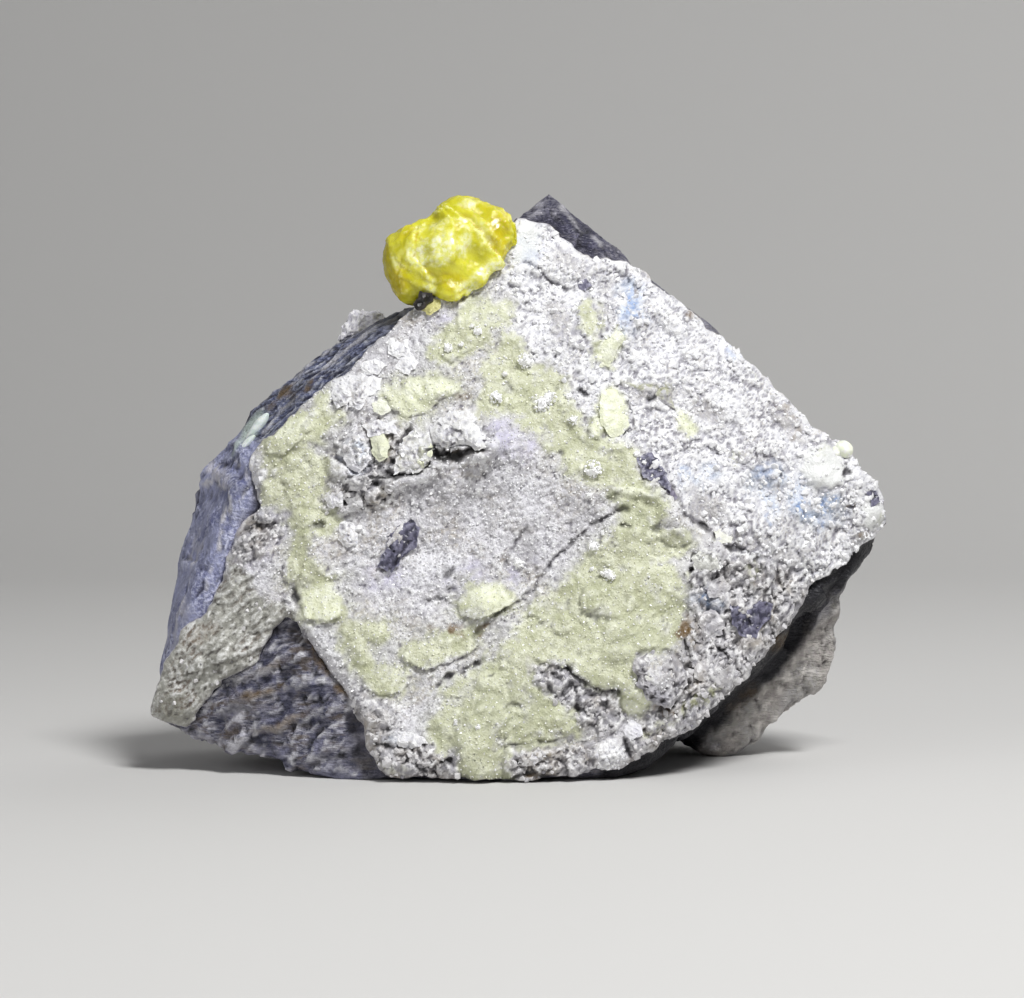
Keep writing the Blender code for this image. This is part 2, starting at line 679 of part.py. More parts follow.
def make_lobed(name, lobes, voxel, ripple, parts):
    """A body of ellipsoid lobes fused into one skin."""
    bm = bmesh.new()
    for lobe in lobes.values():
        add_lobe(bm, *lobe)
    body = object_from_bmesh(bm, name, parts)
    voxel_join(body, voxel)
    roughen(body, ripple, LOBE_RIPPLE_SIZE, (1.0, 1.0, 0.7))
    return body


def seat_on(body, neighbours):
    """Cut a body so that it sits on its neighbours with a gap."""
    for around in neighbours:
        boolean(body, around, "DIFFERENCE")
    keep_largest_shell(body)


def finish(obj, made_material, smooth):
    obj.data.materials.clear()
    obj.data.materials.append(made_material)
    for face in obj.data.polygons:
        face.use_smooth = smooth


def main():
    clear_scene()
    parts = new_collection("yellow_crystal_specimen")
    cutters = new_collection("cutters")
    rng = random.Random(SEED)
    sheet = SmoothSheet([*CRUST_EDGE.values(), *CRUST_INSIDE.values()])

    seat = make_crust_seat(sheet, cutters, rng)
    rock = make_rock(sheet, seat, parts, cutters)
    crust = make_crust(sheet, parts, rng)
    add_bud(crust, parts)
    cluster = make_lobed("yellow_crystal_cluster", CLUSTER_LOBES, CLUSTER_VOXEL, CLUSTER_RIPPLE, parts)
    decimate(cluster, CLUSTER_TRIANGLES)
    rear_lump = make_lobed("rear_crust_lump", REAR_LUMP_LOBES, LUMP_VOXEL, LUMP_RIPPLE, parts)
    decimate(rear_lump, LUMP_TRIANGLES)
    around_rock = inflated_copy(rock, GAP, cutters)
    around_crust = inflated_copy(crust, GAP, cutters)
    seat_on(cluster, (around_rock, around_crust))
    seat_on(rear_lump, (around_rock,))

    finish(rock, material("dark_rock", "565663", 0.62), False)
    finish(crust, material("pale_druse", "C9C9AE", 0.7), False)
    finish(cluster, material("yellow_crystal", "E3D61E", 0.22), True)
    finish(rear_lump, material("white_crust", "C9C7C4", 0.75), False)
    for cutter in cutters.objects:
        cutter.hide_render = True
        cutter.display_type = "WIRE"


main()
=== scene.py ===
"""The looks of a mineral specimen: lobed yellow crystals on dark slate, with a pale drusy crust in front.

The front of the specimen is a sheet of depths over X and Z. Its relief and its zones are named
below in the frame of the front camera, 1024 by 998 pixels, with heights and widths in millimetres.
Everything is worked out in millimetres and becomes metres when a mesh is made.
"""

import math

import bmesh
import bpy
import numpy as np
from mathutils import Matrix, Vector, geometry, noise
from mathutils.bvhtree import BVHTree


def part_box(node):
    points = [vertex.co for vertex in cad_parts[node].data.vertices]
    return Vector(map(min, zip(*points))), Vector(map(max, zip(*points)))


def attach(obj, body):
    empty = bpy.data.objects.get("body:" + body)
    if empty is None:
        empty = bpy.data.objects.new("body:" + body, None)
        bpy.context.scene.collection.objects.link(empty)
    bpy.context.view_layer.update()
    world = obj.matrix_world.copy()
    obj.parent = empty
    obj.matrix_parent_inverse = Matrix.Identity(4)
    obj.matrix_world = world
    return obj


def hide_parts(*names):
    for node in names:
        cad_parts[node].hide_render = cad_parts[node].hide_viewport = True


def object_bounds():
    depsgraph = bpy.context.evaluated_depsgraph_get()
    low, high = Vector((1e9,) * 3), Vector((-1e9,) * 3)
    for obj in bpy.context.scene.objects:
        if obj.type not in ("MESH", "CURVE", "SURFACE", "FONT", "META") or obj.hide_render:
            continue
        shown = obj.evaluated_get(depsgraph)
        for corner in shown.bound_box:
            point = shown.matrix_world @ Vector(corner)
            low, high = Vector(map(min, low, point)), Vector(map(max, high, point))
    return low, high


MM = 0.001
SEED = 11

# The front camera: its place in millimetres, its downward tilt, and its picture.
CAMERA_PLACE = (-1.611, -511.315, 63.224)
CAMERA_TILT = math.radians(3.0)
LENS = 130.0
SENSOR = 36.0
NEAREST_SEEN = 0.01
PICTURE = (1024, 998)
FOCAL_PIXELS = LENS / SENSOR * PICTURE[0]
MM_PER_PIXEL = 0.135

# The paper sweep and the lights, in metres and watts.
FLOOR_FRONT = 1.5
FLOOR_SIDE = 2.0
FLOOR_BACK = 0.35
SWEEP_RADIUS = 0.3
SWEEP_STEPS = 12
WALL_TOP = 1.6
LIGHTS_AIM = (0.0, 0.0, 0.035)
# Each light: (place, size, power).
LIGHTS = {
    "key": ((0.20, -0.30, 0.54), 0.18, 3.8),
    "fill": ((-0.5, -0.4, 0.22), 0.4, 0.7),
    "rim": ((0.35, 0.4, 0.45), 0.4, 0.8),
}
ROOM_COLOUR = "#e6e7ea"
ROOM_LIGHT = 0.16

# The crust's sheet, in millimetres.
CRUST_STEP = 0.24
CRUST_MARGIN = 1.6
CAST_FROM = -60.0
MEAN_DEPTH = -12.0
BASE_SMOOTHING = 1.1
WIDE_SMOOTHING = 4 * BASE_SMOOTHING
EDGE_SMOOTHING = 0.5
EDGE_RAGGEDNESS = 0.42
EDGE_DROP = 0.9
EDGE_ROUNDING = 0.495
# How the edge turns back: (sideways, backwards) for each ring of points.
SKIRT = [(0.16, 0.45), (0.05, 1.1), (-0.9, 2.3)]
BACK_DEPTH = 3.0
BACK_STEP = 4.0
BACK_INSET = 2.0
PLATE_LEAN = 0.4

# Chips that stand on the crust, in millimetres.
FLAKE_STEP = 0.28
FLAKE_UNDERCUT = 0.25
FLAKE_ROOT = 0.9
FLAKE_ROOT_RELIEF = -0.3
FLAKE_LEAN = 0.35

# The rock, in millimetres.
ROCK_VOXEL = 0.52
ROCK_SMOOTHING_STEPS = 4
ROCK_BEHIND_CRUST = 1.5
APEX_LIFT = 1.1
APEX_REACH = 3.4
APEX_SLOPE = 0.75
FILLER_SHIFTS = [(0.0, 0.8, 0.0), (0.4, 0.9, 0.0), (-0.4, 0.9, 0.0), (0.0, 0.9, 0.4), (0.0, 0.9, -0.4)]

# The yellow crystals and the white lump behind the crest, in millimetres.
CLUSTER_VOXEL = 0.24
CLUSTER_CLOSING = 1.8
CLUSTER_SMOOTHING_STEPS = 6
LUMP_VOXEL = 0.16
LUMP_SMOOTHING_STEPS = 3

# How much lower or higher than its surroundings a full crevice or crest lies, in millimetres; there the
# painted shade or painted highlight is full.
CREVICE_RELIEF = 0.16
CREST_RELIEF = 0.14

# Each seed reads the noise, and each set of random cells, at a shift of its own.
NOISE_SHIFT = 13.7
CELL_SHIFT = 7.3
CELL_SCRAMBLE = 91.7

# Small crystals: the spar's sides, and its width and length as shares of a crystal's size;
# the seed and the number of corners of each hull; the corners of a tuft's lumps.
SPAR_SIDES = 4
SPAR_WIDTH = 0.8
SPAR_LENGTH = 1.3
HULLS = {"grain": (3, 10), "crumb": (5, 18)}
LUMP_CORNERS = 12
# How many points are tried for each one that a crystal's spacing leaves room for.
CROWDING = 4.0
# (shape, spacing, smallest and largest in mm, lean in radians, then what grain_material takes).
GROWN = {
    "white_crystal_grains": ("grain", 0.62, 0.3, 0.85, 0.7,
        "white sugary crystals", "#cfcfd6", "#ffffff", 0.3, 1.5),
    "green_druse_grains": ("spar", 0.7, 0.25, 0.5, 0.6,
        "green druse crystals", "#c9cba6", "#f1f2df", 0.15, 1.55),
    "grey_druse_grains": ("spar", 0.52, 0.25, 0.55, 0.8,
        "grey druse crystals", "#b9b8bd", "#f6f6f7", 0.2, 1.5),
    "stony_grains": ("grain", 0.7, 0.3, 0.9, 0.9, "stony grains", "#77757b", "#e3e1e1", 0.4, 1.5),
    "bright_sparkles": ("spar", 0.85, 0.2, 0.42, 1.2,
        "bright crystal points", "#f4f4f4", "#ffffff", 0.08, 1.6),
    "white_crumbs": ("crumb", 1.5, 0.5, 1.4, 0.9, "white crumbs", "#cdccd3", "#f3f3f4", 0.45, 1.5),
    "stone_crumbs": ("crumb", 2.6, 0.5, 1.5, 0.9, "grey stone crumbs", "#83818a", "#dddbdc", 0.5, 1.5),
}


# ---------------------------------------------------------------- relief and zones of the front

# Outlines of the green druse.
GREEN_ZONES = {
    "crown": [(469, 299), (507, 301), (516, 309), (512, 322), (492, 330), (480, 345), (450, 364),
        (436, 362), (426, 353), (440, 334), (452, 322)],
    "shelf": [(379, 386), (409, 378), (440, 374), (459, 381), (457, 391), (438, 399), (430, 413),
        (406, 418), (392, 409), (380, 396)],
    "main_band": [(498, 346), (508, 333), (521, 338), (532, 362), (559, 374), (573, 400), (584, 428),
        (612, 440), (637, 452), (640, 480), (606, 484), (570, 474), (556, 452), (526, 428), (510, 413),
        (478, 412), (474, 399), (488, 386), (482, 366)],
    "high_right": [(578, 305), (590, 300), (603, 308), (597, 330), (600, 350), (612, 362), (600, 368),
        (588, 345), (581, 322)],
    "left": [(265, 436), (281, 419), (304, 416), (326, 387), (333, 391), (332, 406), (343, 418), (328, 435),
        (311, 441), (311, 451), (329, 454), (333, 467), (326, 480), (325, 503), (339, 507), (338, 526),
        (320, 537), (304, 547), (306, 558), (316, 567), (338, 574), (326, 590), (341, 598), (350, 606),
        (345, 620), (318, 621), (300, 618), (301, 600), (303, 586), (286, 576), (288, 562), (295, 536),
        (290, 514), (262, 500), (268, 480), (264, 462)],
    "left_low": [(340, 624), (360, 622), (388, 621), (388, 637), (370, 648), (376, 668), (401, 664),
        (412, 680), (402, 694), (374, 692), (352, 664), (336, 646)],
    "cheek": [(410, 640), (440, 634), (482, 628), (484, 640), (462, 650), (430, 664), (404, 668),
        (400, 652)],
    "middle_lobe": [(458, 600), (470, 584), (497, 580), (514, 590), (518, 603), (498, 613), (466, 622),
        (452, 614)],
    "belly": [(606, 486), (640, 476), (660, 487), (668, 517), (655, 529), (692, 538), (694, 547),
        (676, 558), (664, 562), (684, 574), (690, 593), (688, 612), (681, 625), (682, 640), (664, 650),
        (640, 655), (632, 668), (640, 682), (648, 710), (634, 713), (622, 700), (620, 692), (588, 680),
        (572, 664), (549, 660), (531, 663), (530, 680), (548, 700), (576, 714), (578, 738), (548, 745),
        (527, 750), (508, 742), (503, 763), (511, 784), (484, 788), (460, 776), (462, 757), (446, 746),
        (430, 742), (428, 722), (446, 704), (441, 690), (478, 667), (500, 645), (520, 620), (548, 596),
        (572, 572), (592, 552), (610, 532), (620, 512), (612, 500)],
}
# Paler, thicker green: lobes and lips that stand in the light; the paleness is partly their own, partly
# painted light.
PALE_GREEN_ZONES = {
    "shelf_top": [(402, 384), (440, 378), (457, 384), (440, 397), (412, 402), (400, 395)],
    "tall_lobe": [(603, 392), (614, 387), (624, 400), (624, 428), (614, 438), (603, 430), (598, 410)],
    "small_lobe": [(590, 422), (599, 419), (603, 430), (597, 438), (590, 431)],
    "leaning_plate": [(602, 344), (618, 329), (626, 336), (614, 354), (608, 366), (598, 360)],
    "upper_patch": [(679, 412), (688, 414), (697, 430), (690, 438), (681, 428)],
    "left_crest": [(268, 428), (284, 418), (304, 416), (300, 430), (278, 440)],
    "left_lobe": [(300, 588), (330, 584), (342, 606), (326, 619), (302, 616)],
    "lip": [(612, 482), (626, 481), (650, 487), (646, 493), (622, 490)],
    "low_lobe": [(622, 692), (646, 688), (652, 704), (640, 715), (626, 708)],
    "middle_crest": [(466, 588), (494, 582), (512, 594), (498, 602), (474, 602)],
}
# The white crumbly face on the right, and other sugar-white parts.
WHITE_ZONES = {
    "right_face": [(505, 200), (560, 205), (600, 235), (640, 240), (690, 290), (760, 350), (830, 420),
        (880, 440), (905, 500), (900, 540), (870, 555), (840, 580), (812, 586), (790, 566), (738, 556),
        (716, 538), (697, 523), (682, 508), (672, 484), (640, 448), (620, 436), (586, 420), (572, 392),
        (556, 370), (528, 356), (514, 330), (518, 306), (504, 292), (500, 270), (512, 240)],
    "ledge_plate": [(431, 428), (446, 417), (464, 413), (481, 426), (486, 444), (464, 446), (437, 443)],
    "left_knob": [(331, 392), (336, 376), (364, 372), (382, 380), (376, 394), (359, 410), (340, 408)],
    "ledge_blob": [(403, 438), (424, 427), (434, 436), (431, 454), (419, 471), (394, 474), (392, 466)],
    "low_right": [(596, 742), (612, 738), (624, 748), (618, 766), (598, 770)],
    "low_left_plate": [(395, 734), (412, 731), (426, 740), (420, 746), (398, 742)],
    "left_rim": [(246, 452), (258, 446), (264, 470), (262, 496), (254, 512), (242, 508), (250, 480)],
    "left_lump": [(343, 443), (353, 435), (364, 433), (369, 450), (364, 466), (350, 470), (343, 458)],
    "lobe_side": [(620, 397), (628, 406), (631, 425), (625, 432)],
    "bowl_white": [(700, 558), (716, 556), (718, 568), (704, 572)],
    "ball": [(338, 524), (354, 522), (360, 534), (354, 546), (342, 544)],
}
# Brightest, smooth, milky parts of the white face.
MILKY_ZONES = {
    "corner": [(801, 462), (812, 448), (824, 445), (836, 452), (846, 470), (840, 482), (822, 490),
        (808, 484)],
    "corner_low": [(868, 500), (880, 504), (884, 516), (878, 526), (866, 524), (860, 512)],
    "brow": [(516, 226), (530, 219), (540, 230), (534, 250), (516, 262), (508, 250)],
}
# Mid-grey crumbly stone, neither green nor white.
GREY_STONE_ZONES = {
    "left_band": [(248, 514), (262, 510), (286, 524), (280, 544), (258, 560), (242, 564), (232, 548)],
    "right_block": [(690, 556), (736, 556), (782, 568), (830, 570), (830, 600), (800, 640), (758, 700),
        (690, 706), (676, 690), (688, 664), (684, 640), (694, 606), (684, 574)],
    "low_right_edge": [(640, 716), (676, 700), (714, 690), (760, 676), (756, 710), (710, 760), (660, 780),
        (628, 770), (622, 740)],
    "low_patch": [(552, 684), (566, 668), (588, 684), (620, 694), (624, 720), (600, 736), (580, 716),
        (548, 706)],
    "low_patch_left": [(530, 664), (550, 660), (566, 668), (560, 688), (540, 690)],
    "bottom": [(504, 748), (530, 750), (560, 744), (594, 744), (598, 800), (560, 800), (514, 800)],
    "bottom_left": [(330, 764), (340, 742), (392, 738), (430, 744), (462, 760), (458, 800), (390, 800),
        (340, 790)],
    "left_foot": [(340, 696), (378, 696), (394, 708), (392, 728), (368, 740), (336, 740)],
    "crumble": [(323, 496), (342, 479), (372, 468), (392, 476), (392, 500), (362, 508), (332, 516)],
    "left_lumps": [(340, 440), (356, 433), (392, 430), (404, 446), (398, 470), (360, 474), (344, 462)],
}
# Thinly coated stone inside the crust's outline.
OLIVE_STONE_ZONES = {
    "left_wing": [(232, 556), (250, 578), (270, 600), (300, 614), (290, 640), (270, 662), (240, 690),
        (206, 720), (176, 740), (140, 740), (130, 700), (150, 662), (166, 630), (194, 600), (216, 580)],
}
# Grey with a faint violet cast.
LILAC_ZONES = {
    "left_band": [(238, 512), (262, 506), (288, 520), (284, 544), (262, 562), (240, 566), (228, 548)],
    "hollow_top": [(474, 414), (520, 414), (544, 440), (530, 462), (496, 452)],
    "crack_lip": [(500, 570), (540, 560), (534, 582), (512, 586)],
    "hollow_left": [(362, 572), (400, 566), (404, 588), (370, 590)],
    "hollow_low": [(440, 578), (474, 560), (500, 580), (470, 600)],
    "under_cluster": [(428, 316), (462, 308), (462, 320), (432, 330)],
}
# Soft tints: (u, v, half width, half height, turn in degrees, strength), sizes in pixels.
BLUE_TINTS = {
    "high": (634, 306, 7, 18, -15, 0.8),
    "high_low": (626, 322, 8, 14, 10, 0.55),
    "middle": (683, 471, 5, 10, -20, 0.6),
    "milky": (765, 476, 10, 13, 20, 0.45),
    "glass": (803, 507, 9, 11, 0, 0.9),
    "glass_right": (829, 506, 9, 11, 20, 0.8),
    "cyan": (818, 526, 4, 9, 0, 0.8),
    "lilac": (768, 518, 5, 6, 0, 0.5),
    "low": (704, 599, 9, 7, -20, 0.55),
    "facet": (733, 354, 9, 7, 40, 0.35),
}
BLUE_HAZE = {
    "low": (780, 490, 34, 26, 20, 0.7),
    "middle": (700, 476, 24, 14, -10, 0.5),
    "high": (632, 304, 16, 30, -10, 0.6),
    "corner": (822, 512, 24, 22, 0, 0.8),
    "brow": (530, 250, 16, 20, 0, 0.35),
    "left_ledge": (356, 454, 16, 18, 0, 0.5),
    "block": (706, 600, 18, 14, 0, 0.5),
    "bottom": (400, 740, 20, 8, 0, 0.35),
}
# Greyer patches on the white face.
GREY_PATCHES = {
    "high": (652, 393, 24, 11, 10, 0.8),
    "knoll": (570, 262, 26, 9, 30, 0.5),
    "left": (560, 322, 14, 26, -20, 0.6),
    "slope": (706, 410, 30, 12, 42, 0.6),
    "edge": (786, 422, 30, 9, 45, 0.6),
    "middle": (646, 470, 24, 12, 20, 0.6),
    "crevice": (706, 508, 22, 22, 30, 0.6),
    "fold": (742, 540, 30, 10, 10, 0.7),
    "low": (792, 556, 24, 10, -10, 0.5),
    "right": (762, 470, 14, 20, 30, 0.4),
    "top": (608, 300, 12, 22, -20, 0.4),
    "high_edge": (640, 262, 20, 7, 45, 0.4),
    "corner": (858, 540, 14, 8, -30, 0.6),
}
BRIGHT_TINTS = {
    "hollow_low": (430, 566, 46, 20, -15, 0.8),
    "hollow_right": (528, 496, 46, 22, -35, 0.7),
    "hollow_top": (500, 440, 30, 12, 0, 0.5),
    "left": (360, 560, 22, 16, 0, 0.5),
    "left_low": (330, 640, 16, 26, -30, 0.6),
    "low": (400, 716, 30, 14, 10, 0.5),
    "upper": (420, 350, 34, 16, -30, 0.5),
    "wing_top": (262, 574, 30, 14, -30, 0.7),
    "middle": (440, 650, 26, 8, -15, 0.5),
}
# Darker green: painted shade under the lip of the white face, beside lumps and in hollows. Also darker olive
# at the wing's tip.
GREEN_SHADE = {
    "under_lip": (640, 508, 28, 22, 20, 0.8),
    "belly": (610, 580, 30, 26, 0, 0.4),
    "belly_low": (640, 640, 34, 26, 0, 0.6),
    "tongue": (500, 706, 44, 30, 0, 0.75),
    "wing_tip": (174, 706, 20, 18, 0, 0.9),
    "wing_foot": (206, 716, 16, 10, -20, 0.6),
    "left": (300, 540, 16, 22, 0, 0.4),
    "nodule": (610, 700, 22, 20, 0, 0.4),
    "shelf_side": (440, 396, 20, 10, 0, 0.35),
}
RUST_TINTS = {
    "high": (635, 289, 3, 6, 0, 0.6),
    "edge": (692, 316, 10, 3, 35, 0.7),
    "edge_low": (788, 412, 16, 5, 45, 0.45),
    "edge_right": (796, 432, 9, 9, 0, 0.3),
    "corner_hole": (851, 508, 4, 4, 0, 0.9),
    "corner_rim": (864, 534, 8, 6, -20, 0.7),
    "shadow": (452, 450, 8, 4, 0, 0.9),
    "crack": (456, 631, 9, 7, 20, 0.85),
    "crack_right": (484, 628, 8, 6, -25, 0.8),
    "crack_far": (430, 630, 8, 4, 0, 0.5),
    "groove": (506, 556, 9, 3, -60, 0.4),
    "shelf": (461, 395, 10, 6, 0, 0.45),
    "brown_spot": (684, 629, 8, 13, 20, 1.0),
    "bottom": (535, 779, 14, 4, 5, 0.8),
    "pink_chip": (531, 757, 8, 4, -20, 0.4),
    "under_nodule": (664, 711, 16, 4, -25, 0.6),
    "hollow": (455, 525, 5, 4, 0, 0.3),
    "mark": (583, 283, 4, 5, 30, 0.5),
    "left_wing": (200, 636, 22, 10, -25, 0.35),
    "low_right": (700, 606, 3, 6, 0, 0.5),
}
OLIVE_TINTS = {
    "streak": (640, 385, 22, 4, 6, 0.8),
    "plate": (668, 390, 6, 12, 20, 0.7),
    "patch": (734, 456, 9, 6, 0, 0.6),
    "corner": (822, 451, 9, 6, -20, 0.35),
    "right": (752, 570, 11, 9, 0, 0.55),
    "bowl": (722, 537, 10, 7, 0, 0.45),
    "bowl_low": (705, 558, 15, 8, 5, 0.5),
    "bowl_left": (678, 535, 16, 8, 5, 0.5),
    "strip": (700, 698, 30, 6, -30, 0.85),
    "strip_low": (660, 726, 22, 6, -25, 0.6),
    "oval": (381, 446, 9, 12, -20, 0.9),
    "blob": (423, 455, 9, 13, 25, 0.75),
    "plate_low": (441, 433, 9, 8, 0, 0.6),
    "silhouette": (749, 373, 5, 4, 40, 0.4),
    "corner_edge": (880, 521, 5, 9, 0, 0.4),
    "low_left": (392, 770, 18, 8, 0, 0.35),
}

# Places where the light hardly reaches: (u, v, half width, half height, turn, depth in mm, darkness).
HOLES = {
    "ledge_shadow": (450, 455, 22, 8, 2, 2.2, 1.0),
    "ledge_shadow_right": (474, 450, 15, 4.5, -8, 1.4, 1.0),
    "ledge_gap": (431, 448, 6, 9, -30, 0.9, 0.9),
    "ledge_foot": (398, 475, 26, 3.5, -6, 0.8, 0.85),
    "ledge_fissure": (404, 436, 4, 14, 35, 0.9, 0.85),
    "ledge_fissure_low": (392, 462, 4, 9, 20, 0.7, 0.7),
    "oval_gap": (370, 446, 2.5, 10, 10, 0.5, 0.5),
    "crumble_a": (352, 488, 10, 3, -20, 0.6, 0.6),
    "crumble_b": (368, 496, 6, 3, 10, 0.6, 0.6),
    "crumble_c": (340, 502, 9, 3, -10, 0.5, 0.5),
    "crumble_d": (376, 486, 4, 4, 0, 0.5, 0.55),
    "ball_hole": (354, 541, 3, 4, 10, 0.5, 0.9),
    "left_pit": (319, 526, 5, 5, 0, 0.6, 0.7),
    "left_hole": (296, 596, 4, 10, 5, 0.7, 0.85),
    "left_hole_b": (284, 603, 4, 5, 0, 0.4, 0.6),
    "left_dimple": (250, 531, 6, 5, 0, 0.3, 0.45),
    "left_dark": (258, 522, 10, 6, 0, 0.3, 0.35),
    "brow_mark": (584, 391, 7, 2.4, 38, 0.6, 0.95),
    "dot": (554, 357, 1.8, 1.8, 0, 0.3, 0.9),
    "top_mark": (527, 305, 4, 3, 10, 0.3, 0.7),
    "mark_b": (561, 454, 3.5, 3, 0, 0.3, 0.7),
    "mark_c": (486, 430, 4, 5, 0, 0.3, 0.6),
    "mark_d": (486, 474, 6, 4, 0, 0.3, 0.4),
    "hollow_spot": (448, 574, 7, 4, -40, 0.5, 0.6),
    "hollow_spot_low": (450, 589, 6, 3, -20, 0.4, 0.5),
    "hollow_low": (433, 599, 13, 2.5, -12, 0.4, 0.45),
    "lobe_gap": (623, 434, 6, 2, -15, 0.5, 0.85),
    "high_hole": (652, 399, 5, 2.4, -30, 0.5, 0.9),
    "high_gap": (660, 390, 5, 2, -50, 0.4, 0.7),
    "corner_hole": (847, 473, 3.5, 4.5, 0, 0.6, 0.85),
    "corner_brown": (851, 508, 3.5, 3, 0, 0.5, 0.7),
    "right_speck": (782, 474, 2.5, 3.5, 0, 0.3, 0.8),
    "right_speck_b": (712, 494, 6, 2.6, -25, 0.4, 0.7),
    "right_speck_c": (790, 404, 3, 2, 0, 0.2, 0.5),
    "smudge": (624, 527, 7, 4, 0, 0.4, 0.75),
    "smudge_b": (656, 529, 6, 4, -10, 0.4, 0.6),
    "cavity": (612, 495, 8, 8, 0, 0.6, 0.5),
    "cavity_lip": (622, 509, 8, 3, -10, 0.4, 0.6),
    "belly_dip": (606, 578, 10, 3, 0, 0.3, 0.35),
    "belly_dip_b": (600, 618, 14, 4, 10, 0.3, 0.3),
    "bowl_hole": (692, 569, 4.5, 3.5, 0, 0.7, 0.95),
    "bowl_gap": (730, 545, 8, 2.5, -8, 0.5, 0.7),
    "block_gap": (745, 551, 14, 2.2, 8, 0.5, 0.75),
    "block_hole": (757, 560, 4, 3, 0, 0.4, 0.6),
    "nodule_foot": (668, 706, 13, 4, -32, 1.0, 0.95),
    "nodule_side": (687, 686, 3.5, 7, 25, 0.7, 0.8),
    "nodule_left": (641, 684, 3, 5, 0, 0.5, 0.6),
    "veil_a": (697, 672, 4, 5, 20, 0.6, 0.8),
    "veil_b": (726, 673, 5, 3, -20, 0.5, 0.7),
    "patch_top": (568, 668, 3, 5, 0, 0.5, 0.8),
    "patch_mark": (549, 690, 4, 6, 0, 0.4, 0.6),
    "patch_vein": (578, 705, 3, 7, 0, 0.4, 0.6),
    "patch_low": (592, 725, 5, 3, 0, 0.4, 0.5),
    "small_mark": (491, 675, 3, 2, 0, 0.3, 0.75),
    "green_mark": (513, 706, 9, 3, 10, 0.3, 0.5),
    "low_gap": (629, 748, 4, 7, 30, 0.4, 0.5),
    "pitted_knob": (378, 716, 5.5, 4, 20, 0.6, 0.9),
    "low_left_gap": (358, 716, 4, 8, 20, 0.12, 0.3),
    "wing_mark": (254, 634, 7, 2, -10, 0.3, 0.7),
    "foot_mark": (446, 762, 7, 5, 0, 0.5, 0.7),
}

# Lumps: (u, v, half width, half height, turn in degrees, height in mm, how square its shoulders are).
LUMPS = {
    "corner": (822, 466, 25, 21, 30, 1.0, 2.0),
    "corner_step": (812, 478, 12, 9, -20, 0.4, 3.0),
    "corner_low": (866, 509, 19, 17, 20, 0.8, 2.0),
    "corner_tip": (874, 515, 10, 10, 0, 0.5, 3.0),
    "corner_bead": (840, 478, 7, 8, 0, 0.5, 3.0),
    "white_ridge": (620, 262, 30, 9, 40, 0.6, 2.0),
    "white_ridge_b": (668, 318, 26, 11, 48, 0.7, 2.0),
    "white_knoll": (560, 268, 22, 15, 20, 0.6, 2.0),
    "white_knoll_b": (700, 356, 20, 13, 30, 0.5, 2.0),
    "white_knoll_c": (762, 436, 26, 14, 35, 0.6, 2.0),
    "white_knoll_d": (664, 440, 20, 12, 10, 0.6, 2.0),
    "white_knoll_e": (724, 510, 24, 13, 25, 0.6, 2.0),
    "white_knoll_f": (636, 350, 18, 10, 60, 0.5, 2.0),
    "small_lobe": (596, 429, 7, 10, 0, 0.7, 4.0),
    "high_fold": (589, 322, 11, 24, -12, 0.6, 3.0),
    "grey_ball": (590, 599, 11, 12, 0, 0.75, 4.0),
    "grey_ball_b": (537, 610, 8, 7, 0, 0.5, 4.0),
    "grey_ball_c": (563, 624, 11, 10, 0, 0.5, 3.0),
    "grey_ball_d": (632, 603, 8, 7, 0, 0.35, 3.0),
    "grey_ball_e": (610, 560, 9, 6, 0, 0.3, 3.0),
    "left_drop": (291, 570, 9, 13, 0, 0.5, 4.0),
    "left_bead": (335, 574, 9, 6, 0, 0.4, 4.0),
    "left_bead_b": (288, 604, 8, 7, 0, 0.4, 4.0),
    "left_pillow": (305, 512, 17, 16, 0, 0.4, 3.0),
    "left_pillow_b": (290, 470, 20, 14, 0, 0.4, 3.0),
    "left_pillow_c": (314, 540, 12, 9, 0, 0.3, 3.0),
    "bowl_c": (677, 536, 17, 9, 8, 0.6, 4.0),
    "low_white": (607, 752, 13, 13, 0, 0.5, 3.0),
    "tongue": (485, 742, 30, 44, 0, 0.5, 3.0),
    "low_lobe": (636, 702, 14, 12, 0, 0.5, 3.0),
    "right_swell": (664, 588, 26, 24, 0, 0.4, 2.0),
    "veil": (712, 680, 20, 14, -35, 0.5, 4.0),
    "block_knob": (744, 676, 12, 9, -30, 0.5, 4.0),
    "block_knob_b": (712, 634, 14, 11, 20, 0.5, 3.0),
    "block_knob_c": (752, 580, 17, 9, 10, 0.5, 3.0),
    "high_swell": (654, 368, 30, 16, 25, 0.5, 2.0),
    "high_swell_b": (724, 398, 34, 20, 40, 0.5, 2.0),
}

